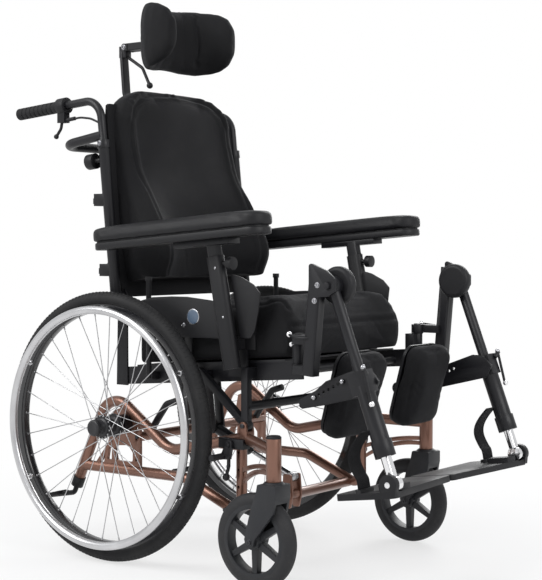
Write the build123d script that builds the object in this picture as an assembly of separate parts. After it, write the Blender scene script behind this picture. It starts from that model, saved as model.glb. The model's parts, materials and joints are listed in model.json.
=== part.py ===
from build123d import *
import os
from math import cos, hypot, pi, radians, sin, tan

# Tilt-in-space wheelchair, millimetres, +Z up, the occupant faces -Y.
# The rear axle lies at y = 0 while the pieces are modelled; the finished
# pieces are moved so that the origin stands on the floor under the middle.

# ---- driving dimensions -------------------------------------------------
# rear wheels
wheel_radius = 305.0
wheel_x = 298.6
tyre_width = 35.0
rim_seat_radius = 276.0
rim_width = 25.0
rim_depth = 18.0
rim_wall_height = 14.0
handrim_radius = 263.7
handrim_tube = 9.5
handrim_reach = 36.6
handrim_tabs = 6
tab_radius = 4.0
spokes_per_flange = 16
spoke_radius = 1.2
flange_radius = 27.0
spoke_lead = 62.0
flange_inner_x = -24.0
flange_outer_x = 14.0
hub_radius = 15.0
axle_radius = 6.0
knob_radius = 18.0

# casters
caster_x = 302.0
caster_head_y = -475.0
caster_trail = 44.0
caster_radius = 100.0
caster_tyre_width = 30.0
caster_seat_radius = 76.0
caster_rim = 9.0
caster_spokes = 6
caster_hub_radius = 17.0
caster_axle_radius = 4.0
fork_gap = 37.0
fork_wall = 8.0
fork_eye_radius = 13.0
fork_crown_top = 226.6
fork_crown_height = 20.0
fork_crown_radius = 23.0
stem_radius = 8.0
head_tube_radius = 16.0
head_tube_top = 316.0
stem_length = 72.0

# base frame
frame_x = 232.0
frame_tube = 12.5
rear_foot = (158.0, 151.0)
arch_corner = (50.0, 382.0)
arch_bend = 55.0
dip_corner = (-133.0, 253.5)
dip_bend = 60.0
shoulder_corner = (-345.0, 300.0)
shoulder_bend = 45.0
shoulder_end_z = 290.0
lower_tube_z = 198.0
lower_knee_y = -175.0
lower_bend = 70.0
lower_front_bend = 22.0
front_post_y = -336.0
front_post_foot = 132.0
front_post_top = 292.0
bracket_thickness = 8.0
bracket_height = 9.0
plate_thickness = 8.0
receiver_radius = 22.0
cross_tube = 11.0
rear_cross = (-36.0, 277.0)
low_cross = (-300.0, 141.0)
accessory_hole = 3.25
accessory_pitch = 37.0
accessory_z = 194.0
accessory_count = 3

# seat support and tilt
support_x = 240.0
support_width = 16.0
support_depth = 17.0
brace_depth = 15.0
brace_top = (-225.0, 440.0)
tilt_pivot = (-355.0, 328.0)
tilt_eye = 12.0
tilt_ear = 5.0
pin_radius = 6.0
support_cross_z = 368.0
support_cross_radius = 10.0
stop_x = 198.0
stop_radius = 8.0

# gas spring under the seat
spring_low = (-299.0, 181.0)
spring_high = (-75.0, 277.0)
spring_pin = 5.0
spring_play = 1.6
spring_eye = 12.0
spring_eye_half = 13.0
spring_rod_radius = 5.0
spring_head_radius = 10.0
spring_head_length = 50.0
spring_body_radius = 13.0
spring_body_start = 132.0
spring_insertion = 50.0
spring_travel = 45.0
lug_thickness = 5.0

# seat
seat_slope = 4.4
seat_level = 432.0
seat_ref_y = -230.0
side_plate_x = 208.0
side_plate_thickness = 6.0
side_plate_height = 40.0
seat_front_y = -484.0
seat_rear_y = 44.0
seat_cross_y = (-440.0, -290.0, -60.0, 10.0)
seat_cross_radius = 9.0
pan_thickness = 4.0
cushion_half_width = 224.0
cushion_front_y = -464.0
cushion_rear_y = -28.0
cushion_top = 590.0
upright_thickness = 4.0
hip_plate_x = 226.0
hip_plate_thickness = 5.0
panel_x = 251.0
panel_thickness = 3.0
panel_low = 510.0
guard_post = (238.0, -74.0)
guard_post_radius = 6.0
guard_post_top = 642.0
guard_strap_y = -190.0

# back
back_pivot = (25.0, 600.0)
cane_x = 240.0
cane_radius = 12.5
cane_lean = 6.05
cane_foot = 32.0
cane_joint_z = 948.0
cane_collar = 14.5
handle_radius = 9.5
handle_corner = (73.0, 1049.0)
handle_bend = 46.0
handle_end = (334.0, 1028.0)
grip_radius = 14.0
grip_length = 130.0
shell_thickness = 5.0
shell_half_width = 199.0
back_wrap = 18.0
rung_offset = 11.0
rung_radius = 9.0
rungs = (668.0, 820.0, 942.0)
shelf_reach = 197.0
shelf_z = 966.0
shelf_drop = 20.0
shelf_radius = 11.0

# head support
head_post_width = 24.0
head_slide = 36.0
head_post_depth = 10.0
head_post_foot = 875.0
head_post_bend_z = 1040.0
head_arm_low = 1078.0
head_arm_y = 212.0
head_pivot = (206.0, 1203.0)
head_barrel = 8.0
head_pin = 4.0
head_bracket_low = 902.0
head_bracket_high = 978.0
head_pad_low = 1128.0
head_pad_high = 1291.0
head_pad_half = 131.0
head_pad_back = 104.0
head_pad_front = -30.0
head_pad_thickness = 44.0

# arms
arm_x = 267.0
arm_lean = 10.9
arm_foot = (-338.0, 450.0)
arm_post_top = 716.0
arm_post_thickness = 18.0
arm_post_width = 36.0
socket_wall = 3.0
socket_height = 243.0
socket_knob_z = 674.0
socket_lug_z = 490.0
arm_pad_x = 294.0
arm_pad_width = 78.0
arm_pad_rear = 28.0
arm_pad_length = 482.0
arm_pad_top = 750.0
arm_base_height = 18.0
arm_cushion_height = 32.0

# leg rests
hinge_post = (236.0, -490.0)
hinge_post_radius = 8.0
hinge_post_low = 444.0
hinge_post_high = 530.0
hinge_collar = 20.0
hinge_collar_radius = 14.0
hanger_x = 262.0
hanger_width = 28.0
hanger_top = (-558.0, 662.0)
hanger_foot = (-539.0, 446.0)
knee_axis = (-590.0, 631.0)
knee_pin_radius = 7.0
knee_cover_radius = 39.0
knee_cover_width = 24.0
leg_x = 256.0
leg_angle = 20.8
leg_tube_radius = 11.5
leg_sleeve_radius = 18.5
leg_sleeve_start = 212.0
leg_sleeve_end = 360.0
foot_tube_radius = 11.0
foot_pivot_along = 415.0
foot_insertion = 160.0
foot_raise = 30.0
foot_hinge_radius = 20.0
foot_hinge_width = 13.0
foot_eye_radius = 16.0
foot_eye_room = 3.0
foot_pin_radius = 6.0
calf_arm_thickness = 7.0
calf_along = 205.0
calf_rod_radius = 7.0
calf_rod_at = (-520.0, 391.0)
calf_pad_x = 133.0
calf_pad_width = 150.0
calf_pad_height = 188.0
calf_pad_depth = 46.0
footplate_front = 15.0
footplate_depth = 145.0
footplate_sweep = 35.0
footplate_thickness = 13.0
footplate_drop = 14.0
footplate_toe = 8.0
footplate_gap = 6.0
strap_width = 44.0
strap_thickness = 3.0
strap_clip = 72.0
strap_clip_height = 7.0

# parking brakes
brake_pivot = (-330.0, 288.0)
brake_pin = 5.0
brake_mount_x = 262.0
brake_lever_width = 9.0
brake_shoe_radius = 7.0
brake_shoe_gap = 6.0
brake_shoe_z = 262.0
brake_knob = (-321.0, 217.0)

# hand levers
lever_pivot = (195.0, 1009.0)
lever_pin = 3.0
lever_tip = (215.0, 969.0)

# fits
running = 0.05
flat_play = 0.3
clear = 0.5


# ---- shapes -------------------------------------------------------------
def rod(start, end, radius):
    span = Vector(end) - Vector(start)
    return extrude(Plane(origin=start, z_dir=span) * Circle(radius), span.length)


def bent(points, bends, radius):
    path = FilletPolyline(*points, radius=bends)
    return sweep(Plane(origin=path @ 0, z_dir=path % 0) * Circle(radius), path=path)


def block(x0, x1, y0, y1, z0, z1):
    return Pos((x0 + x1) / 2, (y0 + y1) / 2, (z0 + z1) / 2) * Box(
        abs(x1 - x0), abs(y1 - y0), abs(z1 - z0))


def across(at, radius, x0, x1):
    return rod((x0, at[0], at[1]), (x1, at[0], at[1]), radius)


def outline(points, rounding=0.0):
    face = make_face(Polyline(*points, close=True))
    return fillet(face.vertices(), rounding) if rounding else face


def side_plate(points, x0, x1, rounding=0.0):
    return extrude(Plane.YZ.offset(x0) * outline(points, rounding), x1 - x0)


def turned_x(profile, at, x0):
    """Revolve a closed (x, radius) profile about the X axis through at."""
    face = Pos(x0, at[0], at[1]) * (Plane.XZ * profile)
    return revolve(face, Axis((0, at[0], at[1]), (1, 0, 0)))


def turned_z(points, x, y):
    face = Pos(x, y, 0) * (Plane.XZ * outline(points))
    return revolve(face, Axis((x, y, 0), (0, 0, 1)))


def mirrored(shape):
    return mirror(shape, about=Plane.YZ)


def both(shape):
    return shape + mirrored(shape)


def pitched(shape, at, angle):
    """Turn a shape about the X axis through at; positive lifts the front."""
    return shape.rotate(Axis((0, at[0], at[1]), (1, 0, 0)), -angle)


def seat_point(y, height=0.0):
    """Height of the seat line above the floor at y."""
    return seat_level + height + (seat_ref_y - y) * tan(radians(seat_slope))


def cane_y(z):
    return back_pivot[0] + (z - back_pivot[1]) * tan(radians(cane_lean))


# ---- rear wheels --------------------------------------------------------
axle_at = (0.0, wheel_radius)


def tyre():
    half = tyre_width / 2
    core = wheel_radius - half
    drop = core - rim_seat_radius
    shoulder = (half ** 2 - drop ** 2) ** 0.5
    tread = ThreePointArc((-shoulder, rim_seat_radius), (0, wheel_radius), (shoulder, rim_seat_radius))
    seat = Line(tread @ 1, tread @ 0)
    return turned_x(make_face([tread, seat]), axle_at, wheel_x)


def rim():
    half = rim_width / 2
    inner = rim_seat_radius - rim_depth
    bed = half - 5.0
    wall = rim_seat_radius - rim_wall_height
    profile = outline([(-half, rim_seat_radius), (half, rim_seat_radius), (half, wall),
                       (bed, inner), (-bed, inner), (-half, wall)])
    return turned_x(profile, axle_at, wheel_x)


def spoke_ends(index, flange_x, turn):
    """Ends of one spoke, from its flange hole to the rim, led to one side."""
    step = 360.0 / spokes_per_flange
    foot = radians(index * step + turn)
    lead = spoke_lead if index % 2 else -spoke_lead
    head = foot + radians(lead)
    reach = rim_seat_radius - rim_depth + 2
    weave = spoke_radius * 1.4 if index % 2 else -spoke_radius * 1.4
    hole = flange_radius - 2
    start = (wheel_x + flange_x + weave, hole * cos(foot), wheel_radius + hole * sin(foot))
    end = (wheel_x + weave, reach * cos(head), wheel_radius + reach * sin(head))
    return start, end


def spokes():
    wires = []
    step = 360.0 / spokes_per_flange
    for flange_x, turn in ((flange_inner_x, 3.0), (flange_outer_x, 3.0 + step / 4)):
        for index in range(spokes_per_flange):
            wires.append(rod(*spoke_ends(index, flange_x, turn), spoke_radius))
    return Compound(wires)


def hub():
    flange = 2.5
    inner_end = -29.0
    outer_end = 22.0
    neck_end = 31.0
    knob_end = 45.8
    profile = outline([(inner_end, 0), (inner_end, hub_radius), (flange_inner_x - flange, hub_radius),
                       (flange_inner_x - flange, flange_radius), (flange_inner_x + flange, flange_radius),
                       (flange_inner_x + flange + 5, hub_radius), (flange_outer_x - flange - 5, hub_radius),
                       (flange_outer_x - flange, flange_radius), (flange_outer_x + flange, flange_radius),
                       (outer_end, hub_radius), (neck_end, hub_radius - 3), (neck_end, knob_radius - 1),
                       (neck_end + 2, knob_radius), (knob_end - 3, knob_radius), (knob_end, knob_radius - 4),
                       (knob_end, 0)])
    axle = across(axle_at, axle_radius, frame_x - 18, wheel_x + inner_end)
    return turned_x(profile, axle_at, wheel_x) + axle


def handrim():
    x = wheel_x + handrim_reach
    ring = turned_x(Pos(0, handrim_radius) * RegularPolygon(handrim_tube, 12), axle_at, x)
    tabs = []
    for index in range(handrim_tabs):
        angle = 2 * pi * (index + 0.5) / handrim_tabs
        reach = rim_seat_radius - rim_wall_height + tab_radius + 1
        y = reach * cos(angle)
        z = wheel_radius + reach * sin(angle)
        tabs.append(rod((wheel_x + rim_width / 2, y, z), (x, y, z), tab_radius))
    return ring + tabs


# ---- casters ------------------------------------------------------------
caster_axle = (caster_head_y + caster_trail, caster_radius)


def caster_tyre():
    half = caster_tyre_width / 2
    crown = caster_radius - 7
    profile = outline([(-half + 1, caster_seat_radius), (-half, crown - 6), (-half + 5, crown + 3),
                       (-4, caster_radius), (4, caster_radius), (half - 5, crown + 3), (half, crown - 6),
                       (half - 1, caster_seat_radius)])
    return turned_x(profile, caster_axle, caster_x)


def caster_wheel():
    half = caster_tyre_width / 2 - 1
    inner = caster_seat_radius - caster_rim
    ring = turned_x(outline([(-half, inner), (-half, caster_seat_radius), (half, caster_seat_radius),
                             (half, inner)]), caster_axle, caster_x)
    hub_half = fork_gap / 2 - 0.8
    core = across(caster_axle, caster_hub_radius, caster_x - hub_half, caster_x + hub_half)
    wheel = ring + core
    for index in range(caster_spokes):
        spoke = side_plate([(-8, caster_hub_radius - 4), (8, caster_hub_radius - 4),
                            (5.5, inner + 3), (-5.5, inner + 3)], caster_x - 8, caster_x + 8)
        spoke = spoke.rotate(Axis.X, index * 360.0 / caster_spokes)
        wheel += Pos(0, caster_axle[0], caster_axle[1]) * spoke
    bore = across(caster_axle, caster_axle_radius + running, caster_x - 40, caster_x + 40)
    return wheel - bore


def fork():
    crown_low = fork_crown_top - fork_crown_height
    y0 = caster_head_y
    eye_y, eye_z = caster_axle
    profile = [(y0 - fork_crown_radius, fork_crown_top - 4), (y0 - fork_crown_radius, crown_low - 10),
               (y0 - 17, 165), (eye_y - fork_eye_radius, eye_z + 6), (eye_y - 9, eye_z - 10),
               (eye_y + 9, eye_z - 10), (eye_y + fork_eye_radius, eye_z + 6), (y0 + 40, 170),
               (y0 + fork_crown_radius + 4, crown_low - 4), (y0 + fork_crown_radius, fork_crown_top - 4)]
    outer = fork_gap / 2 + fork_wall
    body = side_plate(profile, caster_x - outer, caster_x + outer, 4)
    wheel_room = turned_x(outline([(-fork_gap / 2, 0), (-fork_gap / 2, caster_radius + 5),
                                   (fork_gap / 2, caster_radius + 5), (fork_gap / 2, 0)]), caster_axle, caster_x)
    body -= wheel_room
    crown = turned_z([(0, crown_low), (fork_crown_radius, crown_low), (fork_crown_radius, fork_crown_top - 4),
                      (fork_crown_radius - 4, fork_crown_top), (0, fork_crown_top)], caster_x, y0)
    stem = rod((caster_x, y0, fork_crown_top - 2), (caster_x, y0, fork_crown_top + stem_length), stem_radius)
    axle = across(caster_axle, caster_axle_radius, caster_x - outer - 3, caster_x + outer + 3)
    return body + (crown - wheel_room) + stem + axle


# ---- base frame ---------------------------------------------------------
def at_frame(point, x=frame_x):
    return (x, point[0], point[1])


def head_tube():
    low = fork_crown_top + clear
    return rod((caster_x, caster_head_y, low), (caster_x, caster_head_y, head_tube_top), head_tube_radius)


def stem_bore():
    return rod((caster_x, caster_head_y, fork_crown_top - 5),
               (caster_x, caster_head_y, fork_crown_top + stem_length + 2), stem_radius + running)


def main_tube():
    end = (caster_x, caster_head_y, shoulder_end_z)
    return bent([at_frame(rear_foot), at_frame(arch_corner), at_frame(dip_corner),
                 at_frame(shoulder_corner), end], [arch_bend, dip_bend, shoulder_bend], frame_tube)


def lower_tube():
    run = (rear_foot[1] - arch_corner[1]) / (rear_foot[0] - arch_corner[0])
    start_y = rear_foot[0] + (lower_tube_z - rear_foot[1]) / run
    return bent([(frame_x, start_y, lower_tube_z), (frame_x, lower_knee_y, lower_tube_z),
                 (frame_x, front_post_y, front_post_foot), (frame_x, front_post_y, front_post_top)],
                [lower_bend, lower_front_bend], frame_tube - 0.5)


def caster_bracket():
    """Two curved straps in the upright plane from the front post to the head tube."""
    dx = caster_x - frame_x
    dy = caster_head_y - front_post_y
    run = hypot(dx, dy)
    plane = Plane(origin=(frame_x, front_post_y, 0), x_dir=(dx, dy, 0), z_dir=(dy, -dx, 0))
    straps = []
    for post_z, head_z in ((231.0, 256.0), (203.0, 243.0)):
        top = ThreePointArc((0, post_z), (run * 0.42, head_z - 5), (run, head_z))
        low = ThreePointArc((run, head_z - bracket_height), (run * 0.45, head_z - 5 - bracket_height),
                            (0, post_z - bracket_height))
        face = make_face([top, Line(top @ 1, low @ 0), low, Line(low @ 1, top @ 0)])
        straps.append(extrude(plane * face, bracket_thickness / 2, both=True))
    return straps[0] + straps[1]


def rear_plate():
    """Axle plate between the arch and the lower tube, with its windows."""
    x0 = frame_x - plate_thickness / 2
    x1 = frame_x + plate_thickness / 2
    low = lower_tube_z
    edge_y = -44.0
    plate = side_plate([(72, low), (54, 262), (40, 330), (6, 344), (-26, 326), (edge_y, 304), (edge_y, low)],
                       x0, x1)
    window = side_plate([(28, 218), (36, 252), (-8, 256), (-22, 240), (-22, 218)], x0 - 1, x1 + 1, 7)
    slot = side_plate([(58, 218), (44, 218), (42, 262), (47, 270)], x0 - 1, x1 + 1, 3)
    plate -= window + slot
    for hole_y, hole_z in ((edge_y + 10, 296), (edge_y + 10, 272), (edge_y + 10, 224), (26, 276)):
        plate -= across((hole_y, hole_z), 4.5, x0 - 1, x1 + 1)
    return plate


def gusset():
    return rod((frame_x, 96, lower_tube_z), (frame_x, 44, 262), 6.5)


def accessory_holes():
    holes = []
    for index in range(accessory_count):
        z = accessory_z + index * accessory_pitch
        holes.append(across((front_post_y, z), accessory_hole, frame_x - 20, frame_x + 20))
    return holes


def frame_side():
    side = main_tube() + lower_tube() + caster_bracket() + rear_plate() + gusset() + tilt_saddle()
    side -= head_tube()
    side += head_tube() - stem_bore()
    side -= across(axle_at, axle_radius + 1.5, frame_x - 30, frame_x + 30)
    side -= accessory_holes()
    return side


def axle_receiver():
    x0 = frame_x + plate_thickness / 2
    x1 = wheel_x - 29.0 - 2.0
    collar = across(axle_at, receiver_radius, x0, x1 - 6) + across(axle_at, receiver_radius - 4, x1 - 6, x1)
    nut = across(axle_at, 14, frame_x - plate_thickness / 2 - 8, frame_x - plate_thickness / 2)
    return collar + nut - across(axle_at, axle_radius + running, frame_x - 40, wheel_x) - main_tube() - gusset()


def cross_tubes():
    rear = across(rear_cross, cross_tube, -frame_x, frame_x)
    low = across(low_cross, cross_tube + 1, -frame_x, frame_x)
    y, z = low_cross
    lug = side_plate([(y - 10, spring_low[1] + 8), (y + 12, spring_low[1] + 8), (y + 15, z), (y + 8, z - 30),
                      (y - 8, z - 30), (y - 15, z)], spring_eye_half + 1, spring_eye_half + 1 + lug_thickness, 4)
    pin = across(spring_low, spring_pin, -spring_eye_half - 3, spring_eye_half + 3)
    return rear + low + both(lug) + pin


def frame_caps():
    foot = Vector(frame_x, *rear_foot)
    axis = (foot - Vector(frame_x, *arch_corner)).normalized()
    end_cap = rod(foot - axis * 20, foot + axis * 4, frame_tube + 2)
    end_cap -= main_tube()
    head_cap = turned_z([(0, head_tube_top), (head_tube_radius, head_tube_top),
                         (head_tube_radius, head_tube_top + 3), (head_tube_radius - 3, head_tube_top + 6),
                         (0, head_tube_top + 6)], caster_x, caster_head_y)
    return both(end_cap + head_cap)


def tipping_pedal():
    foot = Vector(frame_x, *rear_foot)
    axis = (foot - Vector(frame_x, *arch_corner)).normalized()
    start = foot + axis * 4
    bend = start + axis * 20
    tip = Vector(frame_x, 262, 112)
    arm = bent([start, bend, tip], [14], 6)
    pad = side_plate([(204, 122), (266, 106), (267, 113), (205, 129)], frame_x - 17, frame_x + 17)
    ridges = []
    for index in range(4):
        y = 212 + index * 14
        z = 129 - (y - 205) * 16 / 62
        ridges.append(block(frame_x - 15, frame_x + 15, y - 2, y + 2, z - 2, z + 2))
    return arm + pad + ridges


def seat_support():
    """V of a post and a brace that stands on the tilt pin and carries the seat."""
    half = support_width / 2
    x0, x1 = support_x - half, support_x + half
    y, z = tilt_pivot
    post = block(x0, x1, y - support_depth / 2, y + support_depth / 2, z, seat_point(y, 10))
    run = Vector(0, brace_top[0] - y, brace_top[1] - z).normalized()
    side = Vector(0, -run.Z, run.Y) * (brace_depth / 2)
    foot = Vector(0, y, z)
    head = Vector(0, *brace_top)
    brace = side_plate([((foot + side).Y, (foot + side).Z), ((head + side).Y, (head + side).Z),
                        ((head - side).Y, (head - side).Z), ((foot - side).Y, (foot - side).Z)], x0, x1)
    rail_x = side_plate_x + side_plate_thickness
    lugs = block(rail_x, x1, y - support_depth / 2, y + support_depth / 2, seat_point(y, -14), seat_point(y, 10))
    lugs += block(rail_x, x1, brace_top[0] - 14, brace_top[0] + 14, seat_point(brace_top[0], -16),
                  seat_point(brace_top[0], 8))
    frame = post + brace + lugs + across(tilt_pivot, tilt_eye, x0, x1)
    frame -= across(tilt_pivot, pin_radius + running, x0 - 5, x1 + 5)
    return both(frame) + across((y, support_cross_z), support_cross_radius, -support_x, support_x)


def tilt_saddle():
    """Clevis on the shoulder of the frame that holds the tilt pin."""
    y, z = tilt_pivot
    inner = support_x - support_width / 2 - clear
    outer = support_x + support_width / 2 + clear
    base = block(inner - tilt_ear, outer + tilt_ear, y - 11, y + 11, z - 28, z - tilt_eye - clear)
    ear = [(y - 11, z - 16), (y + 11, z - 16), (y + 9, z + 3), (y + 4, z + 8), (y - 4, z + 8), (y - 9, z + 3)]
    saddle = base + side_plate(ear, inner - tilt_ear, inner) + side_plate(ear, outer, outer + tilt_ear)
    return saddle + across(tilt_pivot, pin_radius, inner - tilt_ear, outer + tilt_ear)


def tilt_stop():
    y, z = rear_cross
    return bent([(stop_x, y, z), (stop_x, y - 30, z + 41), (stop_x, y - 56, z + 75), (stop_x, y - 88, z + 85)],
                [16, 16], stop_radius)


def brake_mount():
    y, z = brake_pivot
    body = block(frame_x + 6, brake_mount_x, y - 33, y + 34, z - 10, z + 11)
    pin = across(brake_pivot, brake_pin, brake_mount_x - 6, brake_mount_x + brake_lever_width + 4)
    return body + pin


def brake_shoe_at():
    reach = wheel_radius + brake_shoe_gap + brake_shoe_radius
    return (-(reach ** 2 - (wheel_radius - brake_shoe_z) ** 2) ** 0.5, brake_shoe_z)


def brake_lever():
    y, z = brake_pivot
    x0 = brake_mount_x + clear
    x1 = x0 + brake_lever_width
    mid = (x0 + x1) / 2
    shoe_y, shoe_z = brake_shoe_at()
    arm = side_plate([(y - 9, z + 2), (y - 6, z + 9), (y + 6, z + 9), (y + 10, z), (shoe_y + 6, shoe_z),
                      (shoe_y, shoe_z - 7), (y - 2, shoe_z - 6)], x0, x1)
    shoe = across((shoe_y, shoe_z), brake_shoe_radius, x0, wheel_x + 12)
    knob_y, knob_z = brake_knob
    handle = bent([(mid, y + 2, shoe_z + 4), (mid, y + 2, knob_z + 24), (mid, knob_y, knob_z)], [16], 4)
    lever = arm + shoe + handle + Pos(mid, knob_y, knob_z) * Sphere(8)
    return lever - across(brake_pivot, brake_pin + running, x0 - 20, x1 + 20)


# ---- gas spring ---------------------------------------------------------
spring_span = hypot(spring_high[0] - spring_low[0], spring_high[1] - spring_low[1])
spring_dir = ((spring_high[0] - spring_low[0]) / spring_span, (spring_high[1] - spring_low[1]) / spring_span)


def along_spring(distance):
    return (0.0, spring_low[0] + spring_dir[0] * distance, spring_low[1] + spring_dir[1] * distance)


def spring_rod():
    eye = across(spring_low, spring_eye - 1, -spring_eye_half, spring_eye_half)
    head = rod(along_spring(6), along_spring(spring_head_length), spring_head_radius)
    stem = rod(along_spring(spring_head_length - 2), along_spring(spring_body_start + spring_insertion),
               spring_rod_radius)
    return eye + head + stem - across(spring_low, spring_pin + running, -20, 20)


def spring_cylinder():
    eye = across(spring_high, spring_eye, -spring_eye_half, spring_eye_half)
    end = spring_span - spring_eye + 4
    body = rod(along_spring(spring_body_start), along_spring(end), spring_body_radius)
    hollow = rod(along_spring(spring_body_start - 1),
                 along_spring(spring_body_start + spring_insertion + spring_travel), spring_rod_radius + running)
    return eye + body - hollow - across(spring_high, spring_pin + spring_play, -20, 20)


# ---- seat ---------------------------------------------------------------
def seat_frame():
    x0 = side_plate_x
    x1 = side_plate_x + side_plate_thickness
    low = -side_plate_height / 2
    high = side_plate_height / 2
    rail = side_plate([(seat_front_y, seat_point(seat_front_y, low)), (seat_rear_y, seat_point(seat_rear_y, low)),
                       (seat_rear_y, seat_point(seat_rear_y, high)),
                       (seat_front_y, seat_point(seat_front_y, high))], x0, x1)
    y, z = back_pivot
    upright = side_plate([(seat_rear_y - 34, seat_point(seat_rear_y, low)),
                          (seat_rear_y, seat_point(seat_rear_y, low)), (y + 14, z), (y + 8, z + 13),
                          (y - 8, z + 13), (y - 14, z)], x1, x1 + upright_thickness)
    back_pin = across(back_pivot, pin_radius, x1, cane_x + cane_radius + 4)
    side = rail + upright + back_pin + hinge_carrier()
    frame = both(side)
    for y in seat_cross_y:
        frame += across((y, seat_point(y, -4)), seat_cross_radius, -x0, x0)
    y = seat_cross_y[2]
    arm_x0 = spring_eye_half + 1
    arm = side_plate([(y - 11, seat_point(y, -4)), (y + 11, seat_point(y, -4)), (spring_high[0] + 12, spring_high[1]),
                      (spring_high[0], spring_high[1] - 12), (spring_high[0] - 12, spring_high[1])],
                     arm_x0, arm_x0 + lug_thickness)
    frame += both(arm) + across(spring_high, spring_pin, -arm_x0, arm_x0)
    pan_z = side_plate_height / 2 - 0.5
    pan = block(-x1, x1, cushion_front_y + 24, cushion_rear_y + 10, seat_level + pan_z,
                seat_level + pan_z + pan_thickness)
    return frame + pitched(pan, (seat_ref_y, seat_level), seat_slope)


def hinge_carrier():
    """Upright pin for the swing-away leg rest and the arm that holds it."""
    x, y = hinge_post
    pin = rod((x, y, hinge_post_low), (x, y, hinge_post_high), hinge_post_radius)
    low = hinge_post_low + hinge_collar + 3
    high = hinge_post_high - hinge_collar - 3
    arm = block(side_plate_x, x, y - 6, seat_front_y + 10, low, high)
    ear = block(side_plate_x, side_plate_x + side_plate_thickness, seat_front_y, seat_front_y + 10,
                seat_point(seat_front_y), high)
    return pin + arm + ear + rod((x, y, low), (x, y, high), hinge_collar_radius - 2)


def cushion_section(x, low, high, front, rear):
    """Closed side outline of the seat cushion at x: flat base, rolled front."""
    roll = (high - low) * 0.46
    base = Line((rear, low), (front + 14, low))
    nose = ThreePointArc((front + 14, low), (front, low + roll), (front + 34, high - 6))
    top = ThreePointArc((front + 34, high - 6), ((front + rear) / 2 - 40, high - 9), (rear, high - 12))
    heel = Line((rear, high - 12), (rear, low))
    return Plane.YZ.offset(x) * make_face([base, nose, top, heel])


def seat_cushion():
    low = seat_level + side_plate_height / 2 + pan_thickness
    half = cushion_half_width
    high = cushion_top
    steps = ((-half, low + 12, high - 26), (-half + 9, low + 3, high - 8), (-half * 0.55, low, high + 3),
             (0.0, low, high + 6), (half * 0.55, low, high + 3), (half - 9, low + 3, high - 8),
             (half, low + 12, high - 26))
    slices = []
    for x, bottom, top in steps:
        edge = 10.0 if abs(x) == half else 0.0
        slices.append(cushion_section(x, bottom, top, cushion_front_y + edge, cushion_rear_y - edge))
    body = loft(slices) & block(-half - 9, half + 9, cushion_front_y - 60, cushion_rear_y + 60, low + 0.3, high + 60)
    return pitched(body, (seat_ref_y, seat_level), seat_slope)


def guard_plates():
    """Rear plate behind the arm post and the smaller thigh plate before it."""
    x1 = panel_x + panel_thickness
    rear = side_plate([(-62, panel_low), (-306, panel_low + 2), (-292, 590), (-266, 594), (-200, 600), (-154, 600),
                       (-99, 597), (-62, 588)], panel_x, x1, 5)
    front = side_plate([(-322, 652), (-352, 645), (-384, 630), (-402, 612), (-397, 572), (-388, 532), (-377, 516),
                        (-350, panel_low + 5)], panel_x, x1, 7)
    return rear + front


def side_panels():
    rail_x = side_plate_x + side_plate_thickness
    x, y = guard_post
    strap_x = x - 4
    foot = block(rail_x, x, y - 10, y + 10, seat_point(y, -10), seat_point(y, 8))
    post = rod((x, y, seat_point(y, -6)), (x, y, guard_post_top - 10), guard_post_radius)
    cap = rod((x, y, guard_post_top - 10), (x, y, guard_post_top), guard_post_radius + 2)
    rear = foot + post + cap + across((y, 560), 5, x, panel_x)
    strap = block(rail_x, x, guard_strap_y - 10, guard_strap_y + 10, seat_point(guard_strap_y, -10),
                  seat_point(guard_strap_y, 8))
    strap += block(strap_x, x, guard_strap_y - 10, guard_strap_y + 10, seat_point(guard_strap_y, -10), 552)
    strap += across((guard_strap_y, 538), 5, strap_x, panel_x)
    return both(guard_plates() + rear + strap)


def arm_axis_y(z):
    return arm_foot[0] + (z - arm_foot[1]) * tan(radians(arm_lean))


def arm_slab(width, thickness, low, high):
    """Upright oval bar leaning along the arm post line, before its pitch."""
    section = Plane((arm_x, 0, 0)) * SlotOverall(width, thickness, rotation=90)
    bar = extrude(section, high - low)
    return bar


def leaned(shape, base_z):
    foot = (arm_foot[0], arm_foot[1])
    moved = Pos(0, foot[0], base_z) * shape
    return moved.rotate(Axis((0, foot[0], foot[1]), (1, 0, 0)), -arm_lean)


def arm_sockets():
    outer = arm_slab(arm_post_width + 2 * socket_wall, arm_post_thickness + 2 * socket_wall, 0, socket_height)
    inner = arm_slab(arm_post_width + 2 * flat_play, arm_post_thickness + 2 * flat_play, 0, socket_height + 20)
    room = leaned(inner, arm_foot[1] + 8)
    sleeve = leaned(outer, arm_foot[1]) - room
    y = arm_axis_y(socket_lug_z + 11)
    lug = block(hip_plate_x + 0.5, arm_x - 8, y - 16, y + 14, socket_lug_z, socket_lug_z + 22)
    plate_foot = seat_point(y, -10)
    plate = side_plate([(y - 24, plate_foot), (y + 30, plate_foot), (y + 16, socket_lug_z + 26),
                        (y - 20, socket_lug_z + 26)], hip_plate_x, hip_plate_x + hip_plate_thickness)
    foot = block(side_plate_x + side_plate_thickness, hip_plate_x, y - 14, y + 22, seat_point(y, -8),
                 seat_point(y, 12))
    tab = block(hip_plate_x, hip_plate_x + hip_plate_thickness, y - 44, y - 20, socket_lug_z, 548)
    tab += across((y - 34, 536), 5, hip_plate_x, panel_x)
    front = arm_axis_y(socket_knob_z) - arm_post_width / 2 - socket_wall
    stem = rod((arm_x, front + 2, socket_knob_z), (arm_x, front - 14, socket_knob_z), 5)
    knob = rod((arm_x, front - 12, socket_knob_z), (arm_x, front - 26, socket_knob_z), 14)
    return both(sleeve + (lug - room) + plate + tab + foot + (stem - room) + knob)


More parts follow.
